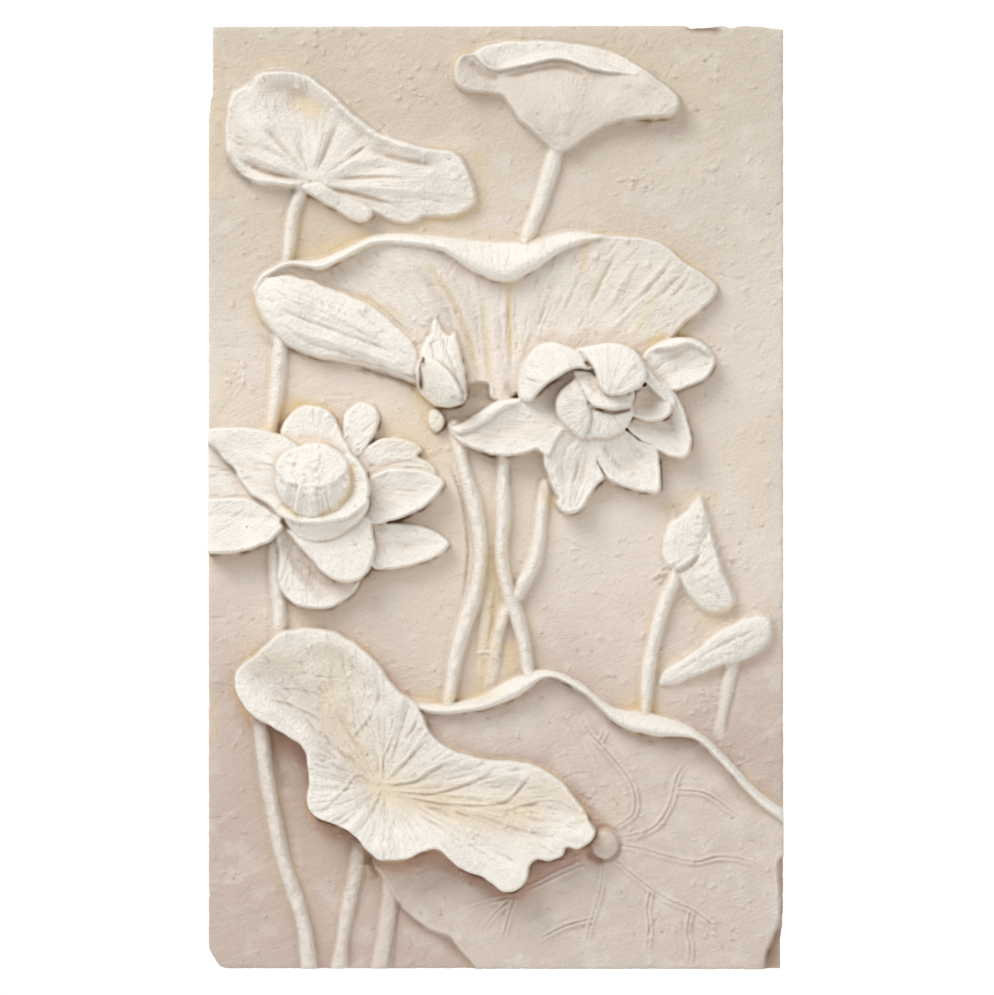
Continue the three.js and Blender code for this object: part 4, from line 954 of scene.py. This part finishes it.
# What the hand left: the whole surface is a little softened, then scraped and scratched with a pointed tool,
# pitted, and scattered with crumbs of paste that were never brushed off. On the leaves and petals the strokes
# run along the folds.
SOFTENED = 0.55
height = blurred(height, SOFTENED)
soft_height = height.copy()
uneven = 0.16 * hills(6, 11, slant=-30, drawn=2.5) + 0.14 * hills(9, 12, slant=15, drawn=2.5)
height += (0.5 + 0.5 * whiteness) * uneven
marks(260, 21, (9, 34), (1.0, 1.7), 0.75, (-60, 30))
marks(150, 22, (5, 14), (1.1, 1.8), 0.9, (-90, 90))
marks(150, 23, (4, 11), (1.0, 1.6), -1.3, (-90, 90), burr=0.0)
# The forms with the place that their strokes point to, the side from which these are counted, in degrees, and
# their number.
strokes = [
    (upper_leaves[:1] + [small_roll], UPPER_LEFT_HEART, 110, 90),
    (upper_leaves[1:2], (556, 165), 90, 14),
    (middle_leaf[:1], MIDDLE_HEART, 90, 170),
    (middle_leaf[1:2], (700, 520), 90, 60),
    (middle_leaf[2:], (500, 600), 90, 40),
    (left_flower[:10], POD, 100, 130),
    (left_flower[10:12], POD, 220, 0),
    (left_flower[12:13], (313, 425), 270, 20),
    (right_flower[6:8], (600, 440), 0, 40),
    (right_flower[:6] + right_flower[8:], FLOWER_HEART, 90, 100),
    ([dish_leaf], DISH_HEART, 60, 170),
    (bud, (440, 420), 90, 20),
    (right_bud[:2], (676, 600), 90, 8),
    (right_bud[2:], (520, 760), 90, 12),
]
for group, heart, _, count in strokes:
    marks(count, 27, (8, 28), (0.9, 1.5), 0.8, (-9, 9), on=group, heart=heart)


def crumbs(count, seed, sizes, rise, middle=None, spread=0.0):
    """Crumbs of paste, or pits where the rise is below zero, all over the panel or thrown round a middle."""
    draw = np.random.default_rng(seed)
    for _ in range(count):
        x, y = draw.uniform(SHEET_LEFT, SHEET_LEFT + WIDTH), draw.uniform(SHEET_TOP, SHEET_TOP + HEIGHT)
        if middle:
            x, y = draw.normal(middle, spread)
        size, long, turn = draw.uniform(*sizes), draw.uniform(1.0, 1.9), draw.uniform(0, math.pi)
        here = window_round(np.array([(x, y)]), 6 * size)
        along = (field_x[here] - x) * math.cos(turn) + (field_y[here] - y) * math.sin(turn)
        off = (field_y[here] - y) * math.cos(turn) - (field_x[here] - x) * math.sin(turn)
        height[here] += rise * size * np.exp(-(((along / long) ** 2 + off**2) / size**2) ** 1.5)


crumbs(560, 24, (1.0, 1.8), 0.9)
crumbs(120, 25, (1.7, 3.0), 0.65)
crumbs(170, 26, (1.0, 1.6), -1.0)
for middle, spread, count in (
    ((306, 44), 12, 10), ((412, 84), 16, 14), ((664, 112), 14, 12), ((642, 176), 14, 12),
    ((706, 512), 12, 16), ((668, 572), 10, 14), ((738, 556), 12, 12), ((712, 690), 12, 16),
    ((492, 650), 8, 12), ((424, 330), 12, 14), ((312, 467), 13, 44), ((700, 545), 14, 26),
    ((716, 650), 22, 22), ((372, 864), 6, 12), ((590, 800), 10, 14), ((566, 860), 12, 10),
    ((232, 380), 14, 10), ((700, 900), 24, 20),
):
    crumbs(count, 28 + count, (1.1, 2.3), 0.9, middle, spread)
height = np.minimum(height, HIGHEST)

# The panel itself: a sheet of mesh with those heights, thinned where it is smooth, with worn, chipped edges,
# rough sides and a flat back that was struck off level. It stands for the one solid of the frame.
TRIANGLES = 186_000
EDGE_BAND = 25.0  # the mesh gives way to a chip over this much of its margin
ARRIS_DROP, ARRIS_WIDTH = 1.6, 1.2  # how the front's sharp edge is worn down
SIDE_STEPS = (24.0, 12.0, 0.0)  # the depths of the rings round the slab's sides, down to the back


def sampled(field, x, y):
    """The field's value at any place, between its own."""
    across = np.clip((x - SHEET_LEFT) / WIDTH, 0, 1) * (field.shape[1] - 1)
    down = np.clip((y - SHEET_TOP) / HEIGHT, 0, 1) * (field.shape[0] - 1)
    left = np.minimum(across.astype(int), field.shape[1] - 2)
    top = np.minimum(down.astype(int), field.shape[0] - 2)
    across, down = across - left, down - top
    upper = field[top, left] * (1 - across) + field[top, left + 1] * across
    lower = field[top + 1, left] * (1 - across) + field[top + 1, left + 1] * across
    return upper * (1 - down) + lower * down


def worn(place, points, seed, waviness=0.28):
    """How far an edge of the panel stands back at each place along it: its chips, and a slight waver."""
    spots = np.array(points, float)
    draw = np.random.default_rng(seed)
    steps = np.arange(0, 1000, 5.0)  # longer than the panel's longest side
    waver = np.abs(np.interp(place, steps, draw.normal(0, waviness, len(steps))))
    return np.interp(place, spots[:, 0], spots[:, 1]) + waver


sheet = bmesh.new()
bmesh.ops.create_grid(sheet, x_segments=field_x.shape[1] - 1, y_segments=field_x.shape[0] - 1, size=0.5)
sheet_mesh = bpy.data.meshes.new("sheet")
sheet.to_mesh(sheet_mesh)
sheet.free()
spots = np.empty(3 * len(sheet_mesh.vertices))
sheet_mesh.vertices.foreach_get("co", spots)
spots = spots.reshape(-1, 3)
drawn_x = SHEET_LEFT + (spots[:, 0] + 0.5) * WIDTH
drawn_y = SHEET_TOP + (0.5 - spots[:, 1]) * HEIGHT
left_back = worn(drawn_y, [(26, 4), (95, 4), (100, 2), (120, 0), (948, 0), (953, 2), (968, 10)], 51)
right_back = worn(drawn_y, [(26, 0), (900, 0), (925, 1), (937, 3), (968, 3)], 52)
top_chips = [(209, 1), (684, 0), (690, 3), (712, 1.5), (722, 0), (730, 2.6), (742, 0), (760, 1), (783, 4)]
top_back = worn(drawn_x, top_chips, 53)
bottom_back = worn(drawn_x, [(209, 3), (219, 0), (783, 0)], 54)
from_left, from_right = drawn_x - SHEET_LEFT, SHEET_LEFT + WIDTH - drawn_x
from_top, from_bottom = drawn_y - SHEET_TOP, SHEET_TOP + HEIGHT - drawn_y
x = drawn_x + left_back * np.clip(1 - from_left / EDGE_BAND, 0, 1)
x -= right_back * np.clip(1 - from_right / EDGE_BAND, 0, 1)
y = drawn_y + top_back * np.clip(1 - from_top / EDGE_BAND, 0, 1)
y -= bottom_back * np.clip(1 - from_bottom / EDGE_BAND, 0, 1)
from_edge = np.minimum.reduce([from_left, from_right, from_top, from_bottom])
knocks = 1 + 0.5 * np.sin(drawn_x / 3.1) * np.sin(drawn_y / 4.3)
arris = ARRIS_DROP * np.exp(-from_edge / ARRIS_WIDTH) * knocks
spots[:, 0] = (x - SHEET_LEFT - WIDTH / 2) * MM
spots[:, 1] = -(SLAB + sampled(height, x, y) - arris) * MM
spots[:, 2] = (SHEET_TOP + HEIGHT / 2 - y) * MM
sheet_mesh.vertices.foreach_set("co", spots.ravel())

sheet_object = bpy.data.objects.new("sheet", sheet_mesh)
bpy.context.scene.collection.objects.link(sheet_object)
thinning = sheet_object.modifiers.new("thinning", "DECIMATE")
thinning.ratio = min(1.0, TRIANGLES / (2 * len(sheet_mesh.polygons)))
thinned = bpy.data.meshes.new_from_object(sheet_object.evaluated_get(bpy.context.evaluated_depsgraph_get()))
bpy.data.objects.remove(sheet_object)

body = bmesh.new()
body.from_mesh(thinned)
for face in body.faces:
    face.smooth = True
border = [edge for edge in body.edges if edge.is_boundary]
for edge in border:
    edge.smooth = False
roughness = np.random.default_rng(61)
for depth in SIDE_STEPS:
    made = bmesh.ops.extrude_edge_only(body, edges=border)["geom"]
    border = [part for part in made if isinstance(part, bmesh.types.BMEdge) and part.is_boundary]
    for vert in (part for part in made if isinstance(part, bmesh.types.BMVert)):
        vert.co.y = -depth * MM
        vert.co.x *= 1 - roughness.uniform(0, 0.0016)
        vert.co.z *= 1 - roughness.uniform(0, 0.0010)
back = bmesh.ops.contextual_create(body, geom=border)["faces"]
bmesh.ops.triangulate(body, faces=back)
bmesh.ops.recalc_face_normals(body, faces=body.faces)
panel_mesh = bpy.data.meshes.new("lotus_relief")
body.to_mesh(panel_mesh)
body.free()
panel = bpy.data.objects.new("lotus_relief", panel_mesh)
bpy.context.scene.collection.objects.link(panel)

# The plaster: off-white paste, matt, over a beige ground. The ground is painted darker at the top, and
# greyer, pinker and darker towards the foot, as painted shade, and lighter in the middle. Ochre has run into
# the hollows and round the feet of the forms. Dark brown sits in the deepest pits: partly dirt, partly
# painted shade, with painted contact shadow at the feet of the forms on their lower right. Painted shadow
# lies below and right of the forms, painted shade in the fine grooves and painted highlights on the fine
# ridges. Each of these is worked out over the drawing, from 0 to 1, and is then kept on the mesh's points.
hollow = blurred(soft_height, 2.2) - soft_height
deep_hollow = blurred(soft_height, 8.0) - soft_height
fine_hollow = blurred(height, 1.7) - height
off_walls = smooth_step(3.0, 1.2, np.abs(blurred(soft_height, 3.5) - soft_height))
patchy = smooth_step(0.0, 1.6, hills(55, 71))
halo = smooth_step(0.03, 0.6, blurred((soft_height > 6.0).astype(float), 8.0)) * (owner == 0)


def moved(field, across, down):
    """The field moved to the right and down, in millimetres."""
    rows, columns = round(down / FIELD_STEP), round(across / FIELD_STEP)
    return np.pad(field, ((rows, 0), (columns, 0)), mode="edge")[:-rows, :-columns]


shaded_foot = smooth_step(2.0, 8.0, moved(height, 2, 3) - height)  # with its form above it or at its left
behind = moved(blurred(soft_height, 12.0), 7, 9) - soft_height  # how far it lies below what is up and left


def wash(places):
    """Stain that has run or been brushed on along lines: points, width and strength of each."""
    field = np.zeros(field_x.shape)
    for points, width, strength in places:
        line = smooth_line(points)
        here = window_round(line, 2.5 * width)
        apart, _ = distance_to(line, field_x[here], field_y[here])
        field[here] = np.maximum(field[here], strength * np.exp(-((apart / width) ** 2)))
    return field


ochre_run = wash([
    ([(384, 788), (430, 799), (480, 812), (530, 812)], 20, 0.5),
    ([(331, 660), (336, 705), (352, 748), (380, 784)], 20, 0.4), ([(258, 655), (300, 664)], 12, 0.3),
    ([(384, 788), (420, 798), (460, 806)], 6, 0.5), ([(340, 720), (382, 786)], 6, 0.4),
    ([(540, 780), (585, 815)], 9, 0.4), ([(298, 105), (314, 112)], 9, 0.7),
    ([(510, 284), (510, 350)], 3.5, 0.7), ([(430, 268), (455, 305), (470, 345), (478, 385)], 4, 0.6),
    ([(484, 308), (490, 384)], 4, 0.5), ([(587, 240), (583, 272)], 4, 0.6),
    ([(654, 300), (636, 332)], 6, 0.35), ([(606, 262), (590, 296)], 4, 0.3),
    ([(366, 296), (402, 318)], 5, 0.5), ([(511, 648), (510, 670)], 7, 1.0),
    ([(492, 560), (490, 620), (482, 690)], 13, 0.6),
    ([(353, 466), (351, 486), (340, 504), (324, 514)], 2.6, 1.0), ([(283, 503), (298, 516)], 2.6, 0.8),
    ([(272, 428), (284, 411), (300, 403)], 7, 0.9), ([(395, 428), (430, 452)], 16, 0.5),
    ([(420, 404), (430, 440)], 13, 0.5), ([(478, 158), (484, 190), (472, 216)], 8, 0.6),
    ([(425, 222), (468, 216)], 3.5, 0.9), ([(222, 60), (217, 120), (214, 190)], 9, 0.35),
    ([(246, 70), (275, 58), (312, 68)], 5, 0.4), ([(296, 256), (330, 246), (362, 235)], 7, 0.6),
    ([(253, 298), (262, 324)], 5, 0.7), ([(650, 342), (662, 336)], 5, 0.8),
    ([(418, 699), (450, 696), (484, 688)], 7, 0.6), ([(626, 702), (650, 704)], 8, 0.6),
    ([(543, 492), (553, 505)], 4, 0.7), ([(596, 48), (660, 66), (700, 96)], 7, 0.35),
    ([(214, 700), (216, 740)], 6, 0.3), ([(600, 840), (612, 800)], 8, 0.25),
    ([(300, 210), (300, 250)], 5, 0.4), ([(270, 360), (268, 400)], 4, 0.35),
    ([(540, 240), (470, 232), (400, 229)], 4, 0.35), ([(228, 372), (220, 420)], 8, 0.3),
    ([(664, 510), (690, 496), (712, 500)], 7, 0.5), ([(730, 610), (700, 622)], 6, 0.4),
])
# Dark brown lines: dirt and a chip at the top edge, and painted shadow in pits and along the feet of forms.
dirt_and_shadow_lines = wash([
    ([(230, 156), (238, 172), (250, 181)], 2.4, 0.8), ([(284, 347), (304, 356), (332, 362)], 1.6, 0.5),
    ([(362, 369), (392, 378), (414, 386)], 1.8, 0.9), ([(423, 359), (424, 364)], 1.8, 1.0),
    ([(421, 380), (422, 388)], 1.8, 1.0), ([(445, 416), (445, 427), (437, 434)], 1.8, 0.8),
    ([(284, 521), (289, 529)], 3.0, 1.0), ([(591, 409), (612, 415), (630, 410)], 1.6, 1.0),
    ([(586, 364), (590, 367)], 2.2, 0.9), ([(688, 29), (714, 30)], 2.6, 1.0),
    ([(310, 182), (286, 178), (262, 172), (240, 160)], 1.6, 0.4),
    ([(332, 190), (350, 194), (374, 201)], 1.6, 0.35), ([(336, 179), (376, 178)], 1.4, 0.3),
    ([(450, 467), (461, 495), (467, 530), (468, 560), (463, 595)], 1.5, 0.3),
    ([(374, 152), (396, 160), (428, 166)], 1.6, 0.3), ([(520, 68), (560, 62), (600, 74)], 1.4, 0.25),
    ([(219, 122), (218, 144)], 2.0, 0.6), ([(400, 902), (394, 935), (388, 966)], 1.8, 0.6),
    ([(213, 443), (225, 460), (236, 474)], 2.0, 0.5), ([(284, 545), (300, 572), (318, 592)], 5.0, 0.35),
    ([(370, 857), (376, 874)], 3.0, 0.8), ([(272, 738), (283, 785)], 3.0, 0.35),
    ([(777, 932), (768, 950), (764, 966)], 5.0, 0.5),
    ([(400, 904), (427, 932), (452, 945), (478, 970)], 3.0, 0.35),
    ([(452, 398), (466, 400), (470, 390)], 2.0, 0.6), ([(466, 392), (490, 398)], 5.0, 0.5),
    ([(507, 386), (511, 396)], 4.0, 0.5), ([(262, 334), (272, 344)], 2.0, 0.6),
])
# Where the white paste is thinner: partly thin paste, partly painted shade in hollows, folds and under rolled
# rims.
thin_white_and_painted_shade = wash([
    ([(268, 88), (296, 94), (322, 112)], 12, 0.6), ([(230, 122), (246, 146)], 9, 0.5),
    ([(250, 162), (286, 175)], 5, 0.6), ([(374, 150), (404, 160), (436, 164)], 5, 0.6),
    ([(340, 196), (380, 206)], 5, 0.4), ([(470, 180), (452, 206)], 6, 0.3),
    ([(484, 72), (520, 74), (560, 70), (592, 76)], 6, 0.5), ([(640, 112), (600, 126), (566, 146)], 6, 0.4),
    ([(470, 66), (480, 76)], 6, 0.5), ([(520, 110), (548, 142)], 5, 0.4),
    ([(285, 272), (330, 274), (370, 258)], 8, 0.5), ([(400, 262), (440, 300), (462, 340)], 9, 0.25),
    ([(520, 290), (505, 380)], 12, 0.3), ([(470, 300), (478, 380)], 8, 0.35),
    ([(300, 556), (330, 590), (350, 592)], 9, 0.6), ([(470, 435), (510, 432), (545, 428)], 14, 0.6),
    ([(385, 500), (415, 492)], 14, 0.45), ([(385, 546), (420, 546)], 7, 0.35),
    ([(300, 530), (345, 528)], 4, 0.4), ([(216, 440), (240, 462), (262, 488)], 7, 0.5),
    ([(575, 470), (570, 495)], 9, 0.3), ([(625, 462), (640, 476)], 8, 0.35),
    ([(665, 425), (672, 445)], 8, 0.35), ([(650, 400), (655, 414)], 7, 0.5),
    ([(540, 395), (580, 378)], 8, 0.6), ([(255, 660), (290, 680), (330, 720)], 16, 0.45),
    ([(356, 760), (384, 790), (440, 800)], 12, 0.35), ([(500, 800), (560, 800)], 12, 0.25),
    ([(680, 372), (700, 366)], 8, 0.2),
])
# Where the white is fresher, on the dish leaf's lobes: partly fresh paste, partly painted light where they
# face the lamp.
fresh_white_and_painted_light = wash([
    ([(318, 780), (330, 800), (352, 818), (392, 842), (430, 832)], 20, 0.35),
    ([(470, 850), (510, 868)], 14, 0.3), ([(244, 684), (270, 712), (300, 728)], 8, 0.3),
    ([(560, 830), (584, 826)], 12, 0.25),
])
kept_white = blurred(whiteness, 0.8) * smooth_step(4.5, 0.8, deep_hollow + 0.6 * hollow)
ochre_hollow = 0.4 * smooth_step(0.9, 3.2, hollow) * (0.1 + patchy)
# Dark brown in the hollows, in patches: partly dirt, partly painted shade, with painted contact shadow at the
# feet of the forms on their lower right.
dark_patches = smooth_step(-1.2, 1.2, hills(9, 72))
dirt_and_shade_in_hollows = (0.25 + 0.75 * shaded_foot) * smooth_step(1.4, 4.5, hollow) * dark_patches
stains_and_shading = {
    # The white paste: thinner in places, partly as painted shade, and fresher on the dish's lobes, partly as
    # painted light.
    "white": np.clip(kept_white * (1 - thin_white_and_painted_shade) + fresh_white_and_painted_light * whiteness, 0, 1),
    "shade": smooth_step(3.0, 16.0, behind) * (1 - 0.7 * whiteness),
    "ochre": np.clip(0.4 * halo * patchy + ochre_hollow + ochre_run, 0, 1),
    "dirt_and_shade": np.clip(dirt_and_shade_in_hollows + dirt_and_shadow_lines, 0, 1),
    # painted shade in the fine grooves and round the crumbs
    "groove_shade": smooth_step(0.12, 1.0, fine_hollow) * off_walls,
    # painted highlight on the fine ridges and crumbs
    "ridge": smooth_step(0.12, 1.0, -fine_hollow),
}

# The strokes of the tool run along the forms. Each place has its own pair of numbers, across the strokes and
# along them, counted in strokes, and the plaster's finish takes its furrows from these.
STROKE_WIDTH, STROKE_LENGTH = 2.2, 26.0
STROKE_RADIUS = 70.0  # the strokes of a fan have their full width this far from its heart
FAN_START = 40  # keeps a fan's strokes apart from the ground's
FRONT_MARGIN = 6.0  # the stains fade out this far behind the ground of the relief
lean = math.radians(-24)
flow_across = (field_y * math.cos(lean) - field_x * math.sin(lean) + 5 * hills(60, 73)) / STROKE_WIDTH
flow_along = (field_x * math.cos(lean) + field_y * math.sin(lean)) / STROKE_LENGTH
for group, heart, side, _ in strokes:
    shows = np.isin(owner, group)
    x, y = field_x[shows] - heart[0], field_y[shows] - heart[1]
    turn = (np.arctan2(y, x) - math.radians(side)) % (2 * math.pi)
    flow_across[shows] = turn * STROKE_RADIUS / STROKE_WIDTH
    flow_along[shows] = np.hypot(x, y) / STROKE_LENGTH + FAN_START
flow_jump = np.hypot(*np.gradient(flow_across, FIELD_STEP)) > 6 / STROKE_WIDTH
stains_and_shading["even"] = smooth_step(0.22, 0.02, blurred(flow_jump.astype(float), 1.8))  # 0 where two fans meet

points = np.empty(3 * len(panel_mesh.vertices))
panel_mesh.vertices.foreach_get("co", points)
points = np.clip(points.reshape(-1, 3), node_low, node_high)
panel_mesh.vertices.foreach_set("co", points.ravel())
points /= MM
on_front = points[:, 1] < -SLAB + FRONT_MARGIN
places = points[:, 0] + SHEET_LEFT + WIDTH / 2, SHEET_TOP + HEIGHT / 2 - points[:, 2]
for name, field in stains_and_shading.items():
    attribute = panel_mesh.attributes.new(name, "FLOAT", "POINT")
    attribute.data.foreach_set("value", np.where(on_front, sampled(field, *places), 0.0))
flow = np.column_stack([sampled(flow_across, *places), sampled(flow_along, *places), 0 * places[0]])
attribute = panel_mesh.attributes.new("flow", "FLOAT_VECTOR", "POINT")
attribute.data.foreach_set("vector", flow.ravel())


class Wire:
    """A value in the plaster's node tree, so that its maths reads as plain sums."""

    def __init__(self, tree, socket):
        self.tree, self.socket = tree, socket

    def node(self, kind, settings=None, **sockets):
        """A node of that kind: its settings first, then its sockets by name, or by number as _0 and so on."""
        made = self.tree.nodes.new("ShaderNode" + kind)
        for name, value in (settings or {}).items():
            setattr(made, name, value)
        for name, value in sockets.items():
            target = made.inputs[int(name[1:])] if name[1:].isdigit() else made.inputs[name.replace("_", " ")]
            if isinstance(value, Wire):
                self.tree.links.new(value.socket, target)
            else:
                target.default_value = value
        return made

    def maths(self, operation, first, second):
        made = self.node("Math", {"operation": operation}, _0=first, _1=second)
        return Wire(self.tree, made.outputs[0])

    def __add__(self, other):
        return self.maths("ADD", self, other)

    def __sub__(self, other):
        return self.maths("SUBTRACT", self, other)

    def __rsub__(self, other):
        return self.maths("SUBTRACT", other, self)

    def __mul__(self, other):
        return self.maths("MULTIPLY", self, other)

    __radd__, __rmul__ = __add__, __mul__

    def between(self, low, high):
        """0 below low, 1 above high, and a smooth rise between."""
        made = self.node("MapRange", {"interpolation_type": "SMOOTHSTEP"}, _0=self, _1=low, _2=high)
        return Wire(self.tree, made.outputs[0])

    def blend(self, share, colour):
        """This colour, with a share of another one laid over it."""
        made = self.node("Mix", {"data_type": "RGBA"}, _0=share, _6=self, _7=colour)
        return Wire(self.tree, made.outputs[2])


def paint(red, green, blue):
    """A colour from its values on a screen, 0 to 255."""
    return tuple(((c / 255 + 0.055) / 1.055) ** 2.4 for c in (red, green, blue)) + (1.0,)


# The ground's colours: lit in the middle, and painted darker as shade at the top and, greyer and pinker, at
# the foot.
TOP_GROUND_SHADED = paint(213, 201, 187)
MIDDLE_GROUND = paint(231, 220, 208)
LOWER_GROUND_SHADED = paint(203, 186, 175)
WHITE_PASTE = paint(247, 242, 234)
OCHRE = paint(226, 205, 164)
DIRT_AND_SHADE_BROWN = paint(134, 104, 76)

plaster = bpy.data.materials.new("plaster")
plaster.use_nodes = True
tree = plaster.node_tree
surface = tree.nodes["Principled BSDF"]
start = Wire(tree, None)
coordinates = Wire(tree, start.node("TexCoord").outputs["Object"])
place = start.node("SeparateXYZ", _0=coordinates)
up, depth = Wire(tree, place.outputs["Z"]), Wire(tree, place.outputs["Y"])


def speckle(scale, detail, rough=0.55):
    """Noise through the whole of the plaster."""
    made = start.node("TexNoise", Vector=coordinates, Scale=scale, Detail=detail, Roughness=rough)
    return Wire(tree, made.outputs["Fac"])


def kept_field(name):
    """One of the fields kept on the mesh: a colour of the plaster, painted shade or painted highlight."""
    return Wire(tree, start.node("Attribute", {"attribute_name": name}).outputs["Fac"])


cloud, mottle, grit = speckle(5.0, 1.0), speckle(38.0, 2.0), speckle(240.0, 2.0, 0.7)
white, ochre, dirt_and_shade, shade = (kept_field(name) for name in ("white", "ochre", "dirt_and_shade", "shade"))
groove_shade, ridge, even = (kept_field(name) for name in ("groove_shade", "ridge", "even"))
flow_spot = Wire(tree, start.node("Attribute", {"attribute_name": "flow"}).outputs["Vector"])


def furrows(scale):
    """Noise drawn out along the strokes, and flat where two fans of them meet."""
    noise = start.node("TexNoise", Vector=flow_spot, Scale=scale, Detail=2.0, Roughness=0.6)
    return (Wire(tree, noise.outputs["Fac"]) - 0.5) * even + 0.5


furrow, swathe = furrows(1.0), furrows(0.26)  # single strokes, and broad bands of them
colour = Wire(tree, start.node("RGB").outputs[0])
colour.socket.default_value = LOWER_GROUND_SHADED
level = up + cloud * 0.4 - 0.2  # metres above the panel's middle, wavering by the clouds
for share, paint_over in (
    # painted light and shade: the ground lighter in the middle, painted darker at the top and at the foot
    (level.between(-0.36, 0.02), MIDDLE_GROUND),
    (level.between(0.06, 0.40), TOP_GROUND_SHADED),
    (mottle.between(0.50, 0.70) * 0.22, paint(242, 234, 225)),  # paler blotches
    (swathe.between(0.54, 0.68) * 0.11, paint(242, 235, 227)),  # bands that were rubbed pale
    (swathe.between(0.44, 0.32) * 0.09, paint(205, 188, 172)),  # and bands left dark
    (cloud.between(0.56, 0.7) * 0.3, paint(220, 203, 180)),  # broad warm clouds
    (furrow.between(0.42, 0.28) * 0.25, paint(190, 168, 150)),  # dust in the strokes
    (shade * level.between(0.0, -0.3) * 0.85, paint(194, 154, 140)),  # the reddish shade at the foot
    (shade * 0.25, paint(205, 184, 160)),
    (depth.between(-0.026, -0.010), paint(214, 205, 193)),  # the back, and the sides towards it, are plain
    # the white paste, which carries painted shade and painted light too
    (white * ((mottle * 0.35 + swathe * 0.7 + 0.4).between(0.35, 1.0) * 0.4 + 0.6), WHITE_PASTE),
    (white * mottle.between(0.46, 0.3) * 0.3, paint(224, 217, 212)),  # greyer blotches on the white
    (ochre * (mottle * 0.8 + swathe * 0.9 - 0.2).between(0.1, 0.8), OCHRE),
    # dirt, and painted shade and contact shadow in pits and at the feet of forms
    (dirt_and_shade * (mottle * 1.5 + 0.1).between(0.2, 1.0), DIRT_AND_SHADE_BROWN),
    # painted shade in the fine grooves and round the crumbs
    (groove_shade * 0.36, paint(178, 154, 132)),
    # painted highlight on the fine ridges and crumbs
    (ridge * (white * 0.35 + 0.12), paint(252, 248, 241)),
):
    colour = colour.blend(share, paint_over)
tree.links.new(colour.socket, surface.inputs["Base Color"])
tree.links.new((mottle * 0.16 + 0.78).socket, surface.inputs["Roughness"])
surface.inputs["Specular IOR Level"].default_value = 0.3
furrow_depth = (swathe.between(0.4, 0.6) * (white * 0.55 + 0.15) + 0.12) * even
grain = grit * (white * 0.35 + 0.6) + (furrow - 0.5) * furrow_depth
GRAIN_DEPTH = 0.0024
tooth = start.node("Bump", Height=grain, Distance=GRAIN_DEPTH, Strength=0.9)
tree.links.new(tooth.outputs[0], surface.inputs["Normal"])
panel_mesh.materials.append(plaster)

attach(panel, "root")
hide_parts("lotus_relief_panel")
